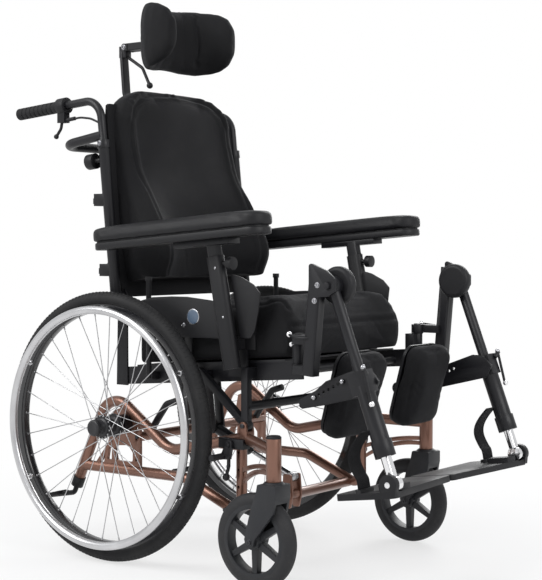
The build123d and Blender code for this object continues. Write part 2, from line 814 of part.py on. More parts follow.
# ---- back ---------------------------------------------------------------
def cane():
    """Back tube with the thinner push handle that comes out of its top."""
    foot_z = back_pivot[1] - cane_foot
    joint = (cane_x, cane_y(cane_joint_z), cane_joint_z)
    tube = rod((cane_x, cane_y(foot_z), foot_z), joint, cane_radius)
    collar_low = cane_joint_z - 12
    collar = rod((cane_x, cane_y(collar_low), collar_low), (cane_x, cane_y(cane_joint_z + 6), cane_joint_z + 6),
                 cane_collar)
    handle_low = cane_joint_z - 40
    handle = bent([(cane_x, cane_y(handle_low), handle_low), (cane_x, *handle_corner), (cane_x, *handle_end)],
                  [handle_bend], handle_radius)
    return tube + collar + handle - across(back_pivot, pin_radius + running, cane_x - 30, cane_x + 30)


def on_back(shape):
    """Move a shape drawn upright at y = 0 into the plane of the canes."""
    shape = Pos(0, back_pivot[0], 0) * shape
    return shape.rotate(Axis((0, back_pivot[0], back_pivot[1]), (1, 0, 0)), -cane_lean)


def shell_outline(grow=0.0):
    half = shell_half_width + grow
    low, waist, shoulder, top = 640.0 - grow, 985.0, 1034.0 + grow, 1060.0 + grow
    right = [(half, low), (half, waist), (half - 26, shoulder), (half - 76, top)]
    left = [(-x, z) for x, z in reversed(right)]
    return Plane.XZ * outline(right + left, 20)


def back_shell():
    return on_back(extrude(shell_outline(), shell_thickness / 2, both=True))


def back_rung(z, play=0.0):
    return across((cane_y(z) + rung_offset, z), rung_radius + play, -cane_x, cane_x)


def back_frame():
    frame = both(cane())
    for z in rungs:
        frame += back_rung(z)
    return frame + back_shell()


def back_section(z, half, bolster, depth, dish):
    """Plan outline of the back cushion at height z along the back."""
    rear = back_wrap
    side = -depth * 0.5
    heel = min(14.0, half * 0.2)
    back_edge = Line((-half + heel, rear), (half - heel, rear))
    right_heel = ThreePointArc((half - heel, rear), (half - heel * 0.3, rear - heel * 0.3), (half, rear - heel))
    right = ThreePointArc((half, rear - heel), (half - 3, (rear - heel + side) / 2), (half, side))
    horn = ThreePointArc((half, side), (half - bolster * 0.4, -depth - 4), (half - bolster, -depth + 4))
    face = ThreePointArc((half - bolster, -depth + 4), (0, -depth + dish), (-half + bolster, -depth + 4))
    left_horn = ThreePointArc((-half + bolster, -depth + 4), (-half + bolster * 0.4, -depth - 4), (-half, side))
    left = ThreePointArc((-half, side), (-half + 3, (rear - heel + side) / 2), (-half, rear - heel))
    left_heel = ThreePointArc((-half, rear - heel), (-half + heel * 0.3, rear - heel * 0.3), (-half + heel, rear))
    edges = [back_edge, right_heel, right, horn, face, left_horn, left, left_heel]
    return Plane.XY.offset(z) * make_face(edges)


def back_cushion():
    """Padded cover with deep lower wings; it wraps the edges of the shell."""
    stations = ((624.0, 202, 44, 102, 50), (662.0, 212, 52, 114, 60), (720.0, 215, 54, 110, 56),
                (772.0, 216, 52, 88, 38), (828.0, 216, 50, 64, 20), (880.0, 215, 46, 42, 6),
                (930.0, 214, 46, 34, 2), (985.0, 212, 46, 28, -4), (1030.0, 203, 46, 28, -4),
                (1052.0, 186, 44, 26, -4), (1070.0, 156, 40, 22, -2), (1084.0, 112, 34, 14, 0))
    body = loft([back_section(*station) for station in stations])
    inside = Pos(0, -shell_thickness / 2 - flat_play, 0) * extrude(shell_outline(flat_play), -100)
    cushion = on_back(body - inside)
    for z in rungs:
        cushion -= back_rung(z, flat_play)
    return cushion


handle_run = hypot(handle_end[0] - handle_corner[0], handle_end[1] - handle_corner[1])
handle_dir = Vector(0, (handle_end[0] - handle_corner[0]) / handle_run,
                    (handle_end[1] - handle_corner[1]) / handle_run)
handle_tip = Vector(cane_x, handle_end[0], handle_end[1])


def push_grips():
    start = handle_tip - handle_dir * grip_length
    grip = rod(start, handle_tip + handle_dir * 4, grip_radius)
    for index in range(8):
        groove_at = start + handle_dir * (14 + index * 14)
        band = rod(groove_at, groove_at + handle_dir * 4, grip_radius + 1)
        grip -= band - rod(groove_at, groove_at + handle_dir * 4, grip_radius - 1.2)
    return both(grip - cane())


def lever_housing():
    y, z = lever_pivot
    front = handle_tip - handle_dir * (grip_length + 26)
    clamp = rod(front, front + handle_dir * 24, grip_radius + 5)
    bracket = block(cane_x - 9, cane_x + 9, y - 15, y + 8, z - 9, z + 22)
    slot = block(cane_x - 4.5, cane_x + 4.5, y - 9, y + 12, z - 10, z + 10)
    pin = across(lever_pivot, lever_pin, cane_x - 9, cane_x + 9)
    relief = rod((cane_x, y - 14, z - 3), (cane_x, y - 42, z), 4.5)
    cable = bent([(cane_x, y - 16, z - 3), (cane_x, y - 60, z + 1), (cane_x, y - 92, z - 3),
                  (cane_x, cane_y(z - 15) + 6, z - 15)], [60, 60], 2.5)
    return clamp + (bracket - slot) + pin + relief + cable - cane()


def hand_lever():
    y, z = lever_pivot
    eye = across(lever_pivot, 7, cane_x - 3.8, cane_x + 3.8)
    blade = bent([(cane_x, y, z), (cane_x, y + 4, z - 22), (cane_x, lever_tip[0], lever_tip[1])], [18], 3.5)
    tip = Pos(cane_x, lever_tip[0], lever_tip[1]) * Sphere(6)
    return eye + blade + tip - across(lever_pivot, lever_pin + running, cane_x - 20, cane_x + 20)


def rear_bar():
    shelf_y = cane_y(shelf_z)
    low = shelf_z - shelf_drop
    return bent([(cane_x, shelf_y, shelf_z), (cane_x, shelf_reach, low), (-cane_x, shelf_reach, low),
                 (-cane_x, shelf_y, shelf_z)], [46, 46], shelf_radius)


def back_fittings():
    side = None
    for z in (817.0, 656.0):
        y = cane_y(z)
        clamp = block(cane_x - 12, cane_x + 12, y, y + 34, z - 14, z + 14)
        clamp += block(cane_x - 6, cane_x + 6, y + 30, y + 42, z - 9, z + 4)
        side = clamp if side is None else side + clamp
    knob_y = cane_y(910)
    stem = rod((cane_x, knob_y, 910), (cane_x, knob_y + 30, 907), 5)
    star = rod((cane_x, knob_y + 28, 907.2), (cane_x, knob_y + 50, 905), 18)
    side += stem + star
    return both(side)


# ---- head support -------------------------------------------------------
def head_slide_y(z):
    return cane_y(z) + head_slide


def head_bar(width, depth):
    top = (0, head_slide_y(head_post_bend_z), head_post_bend_z)
    path = FilletPolyline((0, head_slide_y(head_post_foot), head_post_foot), top,
                          (0, head_arm_y, head_arm_low), (0, head_arm_y + 10, head_pivot[1] - 8), radius=[26, 26])
    section = Plane(origin=path @ 0, z_dir=path % 0, x_dir=(1, 0, 0)) * RectangleRounded(width, depth, 3)
    return sweep(section, path=path)


def head_post():
    barrel = across(head_pivot, head_barrel, -12, 12)
    neck = block(-10, 10, head_pivot[0], head_arm_y + 16, head_pivot[1] - 24, head_pivot[1] + 4)
    catch = bent([(0, head_pivot[0] + 6, head_pivot[1] - 20), (6, 164, 1151), (10, 144, 1107)], [16], 4)
    ball = Pos(10, 144, 1107) * Sphere(8)
    bar = head_bar(head_post_width, head_post_depth) + neck + barrel + catch + ball
    return bar - across(head_pivot, head_pin + running, -30, 30)


def head_bracket():
    low, high = head_bracket_low, head_bracket_high
    body = on_back(block(-34, 34, shell_thickness / 2, 48, low, high))
    reach = head_post_width / 2 + flat_play
    y0 = head_slide - head_post_depth / 2 - flat_play
    y1 = head_slide + head_post_depth / 2 + flat_play
    slot = on_back(block(-reach, reach, y0, y1, low - 100, high + 100))
    knob_z = (low + high) / 2
    knob = rod((30, head_slide_y(knob_z), knob_z), (58, head_slide_y(knob_z), knob_z), 14)
    return body + knob - slot - back_rung(rungs[-1])


def head_section(x, y, turn, height, depth):
    """Upright oval slice of the head pad, facing along its curve."""
    half = height / 2
    middle = (head_pad_low + head_pad_high) / 2
    plane = Plane(origin=(x, y, middle), x_dir=(-sin(radians(turn)), cos(radians(turn)), 0),
                  z_dir=(cos(radians(turn)), sin(radians(turn)), 0))
    deep = depth / 2
    flat = half - deep
    top = ThreePointArc((deep, flat), (0, half), (-deep, flat))
    low = ThreePointArc((-deep, -flat), (0, -half), (deep, -flat))
    return plane * make_face([top, Line(top @ 1, low @ 0), low, Line(low @ 1, top @ 0)])


def head_pad():
    height = head_pad_high - head_pad_low
    back = head_pad_back - head_pad_thickness / 2
    reach = head_pad_half - head_pad_thickness / 2 + 8
    ring = ((-reach, head_pad_front, -84, 0.62, 0.7), (-reach + 2, 18, -72, 0.9, 0.9),
            (-reach * 0.72, back - 22, -38, 1.0, 1.0), (0, back, 0, 0.92, 1.0),
            (reach * 0.72, back - 22, 38, 1.0, 1.0), (reach - 2, 18, 72, 0.9, 0.9),
            (reach, head_pad_front, 84, 0.62, 0.7))
    slices = []
    for x, y, turn, tall, deep in ring:
        slices.append(head_section(x, y, -turn, height * tall, head_pad_thickness * deep))
    pad = loft(slices)
    y, z = head_pivot
    arm = block(-18, 18, back + 10, y - head_barrel - 4, z - 9, z + 9)
    cheek = block(12 + clear, 18, y - head_barrel - 5, y, z - 9, z + 9)
    cheek += across(head_pivot, 9, 12 + clear, 18)
    return pad + arm + both(cheek) + across(head_pivot, head_pin, -18, 18)


# ---- arms ---------------------------------------------------------------
def arm_post():
    low = arm_pad_top - arm_base_height - arm_cushion_height
    bar = leaned(arm_slab(arm_post_width, arm_post_thickness, 0, arm_post_top - arm_foot[1]),
                 arm_foot[1] + 8 + clear)
    top_y = arm_axis_y(arm_post_top)
    plate = block(arm_x - 8, arm_x + 30, top_y - 62, top_y + 92, low - 12, low + 10)
    room = block(arm_pad_x - 80, arm_pad_x + 80, arm_pad_rear - arm_pad_length - 40, arm_pad_rear + 40,
                 low - flat_play, arm_pad_top + 200)
    return bar + pitched_arm(plate) - pitched_arm(room)


def pitched_arm(shape):
    return pitched(shape, (arm_pad_rear, arm_pad_top), seat_slope)


def arm_pad():
    mid_y = arm_pad_rear - arm_pad_length / 2
    low = arm_pad_top - arm_base_height - arm_cushion_height
    corner = arm_pad_width / 2 - 5
    base_face = Plane((arm_pad_x, mid_y, low)) * RectangleRounded(arm_pad_width - 8, arm_pad_length - 8, corner - 4)
    base = extrude(base_face, arm_base_height)
    face = Plane((arm_pad_x, mid_y, low + arm_base_height)) * RectangleRounded(arm_pad_width, arm_pad_length, corner)
    cushion = extrude(face, arm_cushion_height)
    cushion = fillet(cushion.faces().sort_by(Axis.Z)[-1].edges(), 9)
    return pitched_arm(base + cushion)


# ---- leg rests ----------------------------------------------------------
leg_dir = Vector(0, -sin(radians(leg_angle)), -cos(radians(leg_angle)))
knee_at = Vector(leg_x, knee_axis[0], knee_axis[1])


def down_leg(distance, x=leg_x):
    point = knee_at + leg_dir * distance
    return (x, point.Y, point.Z)


def hanger():
    top = Vector(hanger_x, hanger_top[0], hanger_top[1])
    foot = Vector(hanger_x, hanger_foot[0], hanger_foot[1])
    span = foot - top
    section = Plane(origin=top, z_dir=span, x_dir=(1, 0, 0)) * RectangleRounded(hanger_width, hanger_width, 5)
    tube = extrude(section, span.length)
    cheek_x0, cheek_x1 = 268.4, hanger_x + hanger_width / 2
    cheek = side_plate([(hanger_top[0] + 14, 606), (hanger_top[0] + 14, 678), (knee_axis[0] + 4, 662),
                        (knee_axis[0] - 20, 644), (knee_axis[0] - 20, 620), (knee_axis[0], 609)],
                       cheek_x0, cheek_x1, 6)
    body = tube + cheek
    x, y = hinge_post
    for low in (hinge_post_low + 2, hinge_post_high - hinge_collar - 2):
        collar = rod((x, y, low), (x, y, low + hinge_collar), hinge_collar_radius)
        link = side_plate([(y - 6, low + 1), (y - 6, low + hinge_collar - 1), (hanger_foot[0] - 4, low + hinge_collar - 1),
                           (hanger_foot[0] - 4, low + 1)], x + 2, hanger_x + 4)
        body += collar + link
    bore = rod((x, y, hinge_post_low - 20), (x, y, hinge_post_high + 20), hinge_post_radius + running)
    pivot = across(knee_axis, knee_pin_radius + running, cheek_x0 - 5, cheek_x1 + 5)
    return body - bore - pivot


def leg_tube():
    boss = across(knee_axis, 19, leg_x - 9, leg_x + 12)
    bore_start = foot_pivot_along - foot_insertion - foot_raise - 1
    tube = rod(down_leg(6), down_leg(bore_start - 2), leg_tube_radius)
    sleeve = rod(down_leg(leg_sleeve_start), down_leg(leg_sleeve_end), leg_sleeve_radius)
    collar = rod(down_leg(leg_sleeve_end - 34), down_leg(leg_sleeve_end), leg_sleeve_radius + 3)
    pin = across(knee_axis, knee_pin_radius, leg_x, hanger_x + hanger_width / 2 + 5)
    bore = rod(down_leg(bore_start), down_leg(leg_sleeve_end + 5), foot_tube_radius + running)
    block_at = down_leg(calf_along)
    clamp = block(leg_x - leg_sleeve_radius, leg_x + 18, block_at[1] - 19, block_at[1] + 22, block_at[2] - 24,
                  block_at[2] + 22)
    clamp = clamp.rotate(Axis(block_at, (1, 0, 0)), -leg_angle)
    lever = rod((leg_x + 22, block_at[1] - 16, block_at[2] + 30), (leg_x + 22, block_at[1] - 34, block_at[2] - 38), 3)
    lever += rod((leg_x + 10, block_at[1] - 15, block_at[2] + 18), (leg_x + 24, block_at[1] - 16, block_at[2] + 30), 5)
    return boss + tube + sleeve + collar + pin + clamp + lever - bore


def knee_cover():
    x1 = leg_x - 9
    x0 = x1 - knee_cover_width
    drum = across(knee_axis, knee_cover_radius, x0, x1)
    drum = fillet(drum.edges().filter_by(GeomType.CIRCLE), 9)
    return drum


def calf_arm():
    x1 = leg_x - leg_sleeve_radius
    x0 = x1 - calf_arm_thickness
    plate = side_plate([(-493, 377), (-491, 391), (-534, 413), (-560, 434), (-640, 464), (-668, 462), (-688, 440),
                        (-676, 414), (-620, 400), (-551, 383), (-500, 373)], x0, x1, 4)
    first, last = (-531.0, 399.0), (-602.0, 436.0)
    for index in range(1, 6):
        part = index / 6
        plate -= across((first[0] + (last[0] - first[0]) * part, first[1] + (last[1] - first[1]) * part), 3.2,
                        x0 - 1, x1 + 1)
    inner = across(calf_rod_at, calf_rod_radius, calf_pad_x - 40, x0)
    bolts = across(first, 6, x1, x1 + 4) + across(last, 6, x1, x1 + 4)
    return plate + inner + bolts


def calf_pad():
    rod_at = calf_rod_at
    mid_z = 413.0
    rear = rod_at[0] - 14
    x0, x1 = calf_pad_x - calf_pad_width / 2, calf_pad_x + calf_pad_width / 2
    half = calf_pad_height / 2

    def slice_at(y, inset):
        plane = Plane(origin=(calf_pad_x, y, mid_z), x_dir=(1, 0, 0), z_dir=(0, -1, 0))
        return plane * RectangleRounded(calf_pad_width - 2 * inset, calf_pad_height - 2 * inset, 30 - inset)

    shell = extrude(slice_at(rear, 4), 8)
    pillow = loft([slice_at(rear - 8, 1), slice_at(rear - 8 - calf_pad_depth * 0.4, 0),
                   slice_at(rear - 8 - calf_pad_depth * 0.8, 6), slice_at(rear - 8 - calf_pad_depth, 18)])
    barrel = across(rod_at, 13, calf_pad_x - 34, calf_pad_x + 34)
    barrel += block(calf_pad_x - 34, calf_pad_x + 34, rear - 1, rod_at[0], rod_at[1] - 13, rod_at[1] + 13)
    pad = shell + pillow + barrel
    pad = pad - across(rod_at, calf_rod_radius + running, calf_pad_x - 60, calf_pad_x + 60)
    return pad.rotate(Axis((0, rod_at[0], rod_at[1]), (1, 0, 0)), -6)


def foot_tube():
    tube = rod(down_leg(foot_pivot_along - foot_insertion), down_leg(foot_pivot_along - 14), foot_tube_radius)
    pivot = down_leg(foot_pivot_along)
    at = (pivot[1], pivot[2])
    eye = across(at, foot_eye_radius, leg_x - 9, leg_x + 9)
    pin = across(at, foot_pin_radius, leg_x - 2, leg_x + 26)
    return tube + eye + pin


def footplate():
    pivot = down_leg(foot_pivot_along)
    at = (pivot[1], pivot[2])
    x_in = footplate_gap / 2
    x_out = leg_x + foot_tube_radius + clear
    x_side = x_out + foot_hinge_width
    top = pivot[2] - footplate_drop
    low = top - footplate_thickness
    y_front = pivot[1] - footplate_front
    y_rear = y_front + footplate_depth
    plan = outline([(x_in, y_front + footplate_sweep), (x_side, y_front), (x_side, y_rear), (x_in, y_rear)], 14)
    plate = extrude(Pos(0, 0, low) * plan, footplate_thickness)
    ridge = block(206, 242, y_front + 10, y_front + 62, top - 1, top + 11)
    cheek = side_plate([(y_front + 2, low + 2), (pivot[1] + foot_hinge_radius, low + 2),
                        (pivot[1] + foot_hinge_radius, pivot[2]), (pivot[1] - 19, pivot[2])], x_out, x_side)
    clip_y = pivot[1] + strap_clip
    clip = block(leg_x - strap_width / 2 - 3, x_side - 1, clip_y - 6, clip_y + 6, top - 1, top + strap_clip_height)
    body = plate + ridge + cheek + clip + across(at, foot_hinge_radius, x_out, x_side)
    body = pitched(body, at, footplate_toe)
    body -= across(at, foot_eye_radius + foot_eye_room, leg_x - 11, x_out)
    return body - across(at, foot_pin_radius + running, x_out - 5, x_side + 20)


def heel_strap():
    """Webbing loop from its clip on the footplate up towards the leg tube."""
    pivot = down_leg(foot_pivot_along)
    lift = strap_clip_height - footplate_drop + flat_play
    tilt = radians(footplate_toe)
    start_y = pivot[1] + strap_clip * cos(tilt) + lift * sin(tilt)
    start_z = pivot[2] + lift * cos(tilt) - strap_clip * sin(tilt)
    path = FilletPolyline((leg_x, start_y, start_z), (leg_x, start_y + 20 * sin(tilt), start_z + 20 * cos(tilt)),
                          (leg_x, -658, 250), (leg_x, -638, 284), (leg_x, -650, 318), (leg_x, -673.5, 342),
                          radius=[10, 22, 22, 16])
    section = Plane(origin=path @ 0, z_dir=path % 0, x_dir=(1, 0, 0)) * Rectangle(strap_width, strap_thickness)
    return sweep(section, path=path)


# ---- assembly -----------------------------------------------------------
grip_end_y = handle_tip.Y + handle_dir.Y * 4 + grip_radius * abs(handle_dir.Z)
origin_shift = -(grip_end_y + down_leg(foot_pivot_along)[1] - foot_hinge_radius) / 2


def build():
    nodes = {}

    def pair(name, shape):
        nodes["left_" + name] = shape
        nodes["right_" + name] = mirrored(shape)

    pair("tyre", tyre())
    pair("rim", rim())
    pair("spokes", spokes())
    pair("hub", hub())
    pair("handrim", handrim())
    pair("caster_tyre", caster_tyre())
    pair("caster_wheel", caster_wheel())
    pair("fork", fork())

    side = frame_side()
    nodes["frame_left"] = side
    nodes["frame_right"] = mirrored(side)
    sides = side + mirrored(side)
    nodes["cross_tubes"] = cross_tubes() - sides
    caps = frame_caps()
    nodes["caps_and_pedals"] = caps + both(tipping_pedal() - caps)
    nodes["base_brackets"] = both(brake_mount() - side) + (both(tilt_stop()) - nodes["cross_tubes"])
    nodes["base_brackets"] += both(axle_receiver())
    nodes["seat_supports"] = seat_support()
    pair("brake_lever", brake_lever())

    nodes["spring_rod"] = spring_rod()
    nodes["spring_cylinder"] = spring_cylinder()

    nodes["seat_frame"] = seat_frame()
    nodes["seat_cushion"] = seat_cushion()
    nodes["arm_sockets"] = arm_sockets() - nodes["seat_supports"]
    nodes["side_panels"] = side_panels() - nodes["arm_sockets"]

    nodes["back_frame"] = back_frame()
    nodes["back_cushion"] = back_cushion()
    nodes["push_grips"] = push_grips()
    nodes["rear_bar"] = rear_bar() - nodes["back_frame"]
    nodes["back_fittings"] = back_fittings() - nodes["back_frame"] + both(lever_housing())
    pair("hand_lever", hand_lever())
    nodes["head_post"] = head_post()
    nodes["head_bracket"] = head_bracket()
    nodes["head_pad"] = head_pad()

    pair("arm_post", arm_post())
    pair("arm_pad", arm_pad())

    pair("hanger", hanger())
    leg = leg_tube()
    pair("leg_tube", leg)
    pair("knee_cover", knee_cover() - leg)
    pair("calf_arm", calf_arm())
    pair("calf_pad", calf_pad())
    pair("foot_tube", foot_tube())
    pair("footplate", footplate())
    pair("heel_strap", heel_strap())
    return nodes


def main():
    os.makedirs("parts", exist_ok=True)
    for name, shape in build().items():
        moved = Pos(0, origin_shift, 0) * shape
        export_step(moved, os.path.join("parts", name + ".step"))
        print(name, len(moved.solids()))


if __name__ == "__main__":
    main()
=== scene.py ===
import json
from math import cos, pi, radians, sin, sqrt, tan

import bmesh
import bpy
import numpy as np
from mathutils import Matrix, Vector
from mathutils.bvhtree import BVHTree

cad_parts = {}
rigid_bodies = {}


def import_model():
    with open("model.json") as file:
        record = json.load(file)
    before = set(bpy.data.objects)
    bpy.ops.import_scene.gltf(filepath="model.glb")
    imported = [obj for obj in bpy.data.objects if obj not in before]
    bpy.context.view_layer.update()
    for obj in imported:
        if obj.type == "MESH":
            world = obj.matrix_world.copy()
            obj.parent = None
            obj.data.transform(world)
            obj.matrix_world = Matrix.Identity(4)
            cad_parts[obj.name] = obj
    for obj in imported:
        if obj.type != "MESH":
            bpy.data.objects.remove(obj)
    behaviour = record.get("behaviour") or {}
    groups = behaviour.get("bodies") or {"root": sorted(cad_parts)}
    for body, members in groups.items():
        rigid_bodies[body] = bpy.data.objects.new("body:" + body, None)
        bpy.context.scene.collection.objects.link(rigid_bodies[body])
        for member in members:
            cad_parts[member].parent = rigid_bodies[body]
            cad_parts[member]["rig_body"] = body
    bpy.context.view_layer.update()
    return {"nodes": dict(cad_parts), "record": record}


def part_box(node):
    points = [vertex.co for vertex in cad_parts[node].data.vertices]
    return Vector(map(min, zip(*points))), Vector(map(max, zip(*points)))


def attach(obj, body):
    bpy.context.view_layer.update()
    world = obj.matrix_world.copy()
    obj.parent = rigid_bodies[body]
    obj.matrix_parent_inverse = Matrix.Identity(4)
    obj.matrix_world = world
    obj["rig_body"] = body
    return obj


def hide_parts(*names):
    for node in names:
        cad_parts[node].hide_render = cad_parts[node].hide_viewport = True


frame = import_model()
scene = bpy.context.scene

# the design is measured in millimetres from the rear axle, y = 0, and the floor
wheelLow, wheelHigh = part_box("left_tyre")
axleY = (wheelLow.y + wheelHigh.y) / 2
axleZ = (wheelLow.z + wheelHigh.z) / 2
axleHeight = axleZ * 1000
sides = (("left", 1), ("right", -1))


def at(x, y, z):
    return Vector((x / 1000, y / 1000 + axleY, z / 1000))


def bodyOf(node):
    return frame["nodes"][node]["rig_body"]


def feed(tree, socket, value):
    # a link where the value is another node's output, otherwise a constant
    if isinstance(value, bpy.types.NodeSocket):
        tree.links.new(value, socket)
    else:
        socket.default_value = value


def addNode(tree, kind, inputs=(), **settings):
    node = tree.nodes.new(kind)
    for key, value in settings.items():
        setattr(node, key, value)
    for label, value in dict(inputs).items():
        feed(tree, node.inputs[label], value)
    return node


def groupTree(name, treeType, inputs, outputs):
    tree = bpy.data.node_groups.new(name, treeType)
    for label, kind, *value in inputs:
        socket = tree.interface.new_socket(label, in_out="INPUT", socket_type="NodeSocket" + kind)
        if value:
            socket.default_value = value[0]
    for label, kind in outputs:
        tree.interface.new_socket(label, in_out="OUTPUT", socket_type="NodeSocket" + kind)
    return tree, tree.nodes.new("NodeGroupInput").outputs, tree.nodes.new("NodeGroupOutput").inputs


def calc(tree, operation, *values, clamp=False):
    return addNode(tree, "ShaderNodeMath", enumerate(values), operation=operation, use_clamp=clamp).outputs[0]


def noiseOf(tree, vector, scale, detail, roughness):
    return addNode(tree, "ShaderNodeTexNoise", {
        "Vector": vector, "Scale": scale, "Detail": detail, "Roughness": roughness}).outputs["Fac"]


def spread(tree, value, low, high, outLow=0.0, outHigh=1.0):
    return addNode(tree, "ShaderNodeMapRange", {
        "Value": value, "From Min": low, "From Max": high, "To Min": outLow, "To Max": outHigh},
        clamp=True).outputs["Result"]


def mixedColour(tree, share, first, second):
    return addNode(tree, "ShaderNodeMix", {0: share, 6: first, 7: second}, data_type="RGBA").outputs[2]


def surfaceGroup():
    # two tones with slow patches, a fine grain and sparse scuffs
    tree, source, sink = groupTree("handled surface", "ShaderNodeTree", (
        ("Vector", "Vector"), ("Colour", "Color", (0.5, 0.5, 0.5, 1)), ("Worn Colour", "Color", (0.6, 0.6, 0.6, 1)),
        ("Patch Scale", "Float", 9.0), ("Grain Scale", "Float", 900.0), ("Scuff Amount", "Float", 0.25),
        ("Rough Low", "Float", 0.35), ("Rough High", "Float", 0.5)),
        (("Colour", "Color"), ("Roughness", "Float"), ("Grain", "Float")))
    vector = source["Vector"]
    patch = noiseOf(tree, vector, source["Patch Scale"], 4.0, 0.6)
    stretched = addNode(tree, "ShaderNodeMapping", {
        "Vector": vector, "Scale": (1.0, 0.22, 1.0), "Rotation": (0.4, 0.0, 0.5)})
    streak = noiseOf(tree, stretched.outputs[0], 160.0, 5.0, 0.7)
    where = noiseOf(tree, vector, 14.0, 2.0, 0.5)
    scuff = calc(tree, "MULTIPLY", spread(tree, streak, 0.58, 0.68), spread(tree, where, 0.5, 0.64))
    scuff = calc(tree, "MULTIPLY", scuff, source["Scuff Amount"], clamp=True)
    shade = addNode(tree, "ShaderNodeHueSaturation", {
        "Color": source["Colour"], "Value": spread(tree, patch, 0.3, 0.7, 0.86, 1.14)})
    rough = spread(tree, patch, 0.3, 0.7, source["Rough Low"], source["Rough High"])
    rough = calc(tree, "ADD", rough, calc(tree, "MULTIPLY", scuff, 0.25), clamp=True)
    feed(tree, sink["Colour"], mixedColour(tree, scuff, shade.outputs[0], source["Worn Colour"]))
    feed(tree, sink["Roughness"], rough)
    feed(tree, sink["Grain"], noiseOf(tree, vector, source["Grain Scale"], 2.0, 0.5))
    return tree


def weaveGroup():
    # over and under threads from three crossed wave sets, so it needs no UV map
    tree, source, sink = groupTree("woven threads", "ShaderNodeTree", (
        ("Vector", "Vector"), ("Thread Scale", "Float", 900.0), ("Wobble", "Float", 0.6)),
        (("Height", "Float"),))
    waves = [addNode(tree, "ShaderNodeTexWave", {
        "Vector": source["Vector"], "Scale": source["Thread Scale"], "Distortion": source["Wobble"],
        "Detail": 1.0, "Detail Scale": 0.6}, wave_type="BANDS", bands_direction=direction,
        wave_profile="SIN").outputs["Fac"] for direction in ("X", "Y", "Z")]
    cross = calc(tree, "MULTIPLY", calc(tree, "MAXIMUM", waves[0], waves[1]), waves[2])
    fuzz = noiseOf(tree, source["Vector"], 2600.0, 2.0, 0.6)
    feed(tree, sink["Height"], calc(tree, "ADD", calc(tree, "MULTIPLY", cross, 0.8),
                                    calc(tree, "MULTIPLY", fuzz, 0.35)))
    return tree


def leatherGroup():
    # small pebbles with fine creases between them
    tree, source, sink = groupTree("pebbled skin", "ShaderNodeTree", (
        ("Vector", "Vector"), ("Pebble Scale", "Float", 420.0)), (("Height", "Float"),))
    cells = addNode(tree, "ShaderNodeTexVoronoi", {"Vector": source["Vector"], "Scale": source["Pebble Scale"]},
                    feature="DISTANCE_TO_EDGE")
    crease = spread(tree, cells.outputs["Distance"], 0.0, 0.16, 1.0, 0.0)
    feed(tree, sink["Height"], calc(tree, "SUBTRACT", 1.0, calc(tree, "MULTIPLY", crease, 0.8)))
    return tree


def dustGroup():
    # pale road dust that gathers in loose patches
    tree, source, sink = groupTree("road dust", "ShaderNodeTree", (
        ("Vector", "Vector"), ("Colour", "Color", (0.1, 0.1, 0.1, 1)),
        ("Dust Colour", "Color", (0.3, 0.28, 0.25, 1)), ("Amount", "Float", 0.2)),
        (("Colour", "Color"),))
    cloud = noiseOf(tree, source["Vector"], 22.0, 5.0, 0.65)
    speck = noiseOf(tree, source["Vector"], 420.0, 3.0, 0.6)
    dust = calc(tree, "MULTIPLY", spread(tree, cloud, 0.42, 0.72), spread(tree, speck, 0.35, 0.65))
    dust = calc(tree, "MULTIPLY", dust, source["Amount"], clamp=True)
    feed(tree, sink["Colour"], mixedColour(tree, dust, source["Colour"], source["Dust Colour"]))
    return tree


handledSurface = surfaceGroup()
wovenThreads = weaveGroup()
pebbledSkin = leatherGroup()
roadDust = dustGroup()


def groupIn(tree, group, inputs):
    return addNode(tree, "ShaderNodeGroup", inputs, node_tree=group).outputs


def bumpFrom(tree, height, strength, distance, **normal):
    return addNode(tree, "ShaderNodeBump", {"Strength": strength, "Distance": distance, "Height": height,
                                            **normal}).outputs["Normal"]


def finishMaterial(name, look):
    material = bpy.data.materials.new(name)
    material.use_nodes = True
    tree = material.node_tree
    place = addNode(tree, "ShaderNodeTexCoord").outputs["Object"]
    surface = groupIn(tree, handledSurface, {
        "Vector": place, "Colour": (*look["colour"], 1), "Worn Colour": (*look["worn"], 1),
        "Patch Scale": look.get("patchScale", 9.0), "Grain Scale": look.get("grainScale", 900.0),
        "Scuff Amount": look.get("scuff", 0.25), "Rough Low": look["rough"][0], "Rough High": look["rough"][1]})
    colour = surface["Colour"]
    if look.get("dust"):
        colour = groupIn(tree, roadDust, {"Vector": place, "Colour": colour, "Amount": look["dust"]})["Colour"]
    normal = bumpFrom(tree, surface["Grain"], look.get("grain", 0.15), 0.0002)
    if look.get("weave"):
        threads = groupIn(tree, wovenThreads, {"Vector": place, "Thread Scale": look["weave"]})
        normal = bumpFrom(tree, threads["Height"], look.get("weaveStrength", 0.35), 0.0006, Normal=normal)
    if look.get("pebble"):
        skin = groupIn(tree, pebbledSkin, {"Vector": place, "Pebble Scale": look["pebble"]})
        normal = bumpFrom(tree, skin["Height"], 0.25, 0.0004, Normal=normal)
    shader = tree.nodes["Principled BSDF"]
    for label, value in {
            "Base Color": colour, "Roughness": surface["Roughness"], "Normal": normal,
            "Metallic": look.get("metal", 0.0), "Coat Weight": look.get("coat", 0.0),
            "Coat Roughness": look.get("coatRough", 0.2), "Sheen Weight": look.get("sheen", 0.0),
            "Sheen Roughness": 0.45, "Sheen Tint": (*look.get("sheenTint", (0.6, 0.6, 0.65)), 1),
            "Specular IOR Level": look.get("specular", 0.5)}.items():
        feed(tree, shader.inputs[label], value)
    return material


def grey(level, blue=None):
    return level, level, level if blue is None else blue


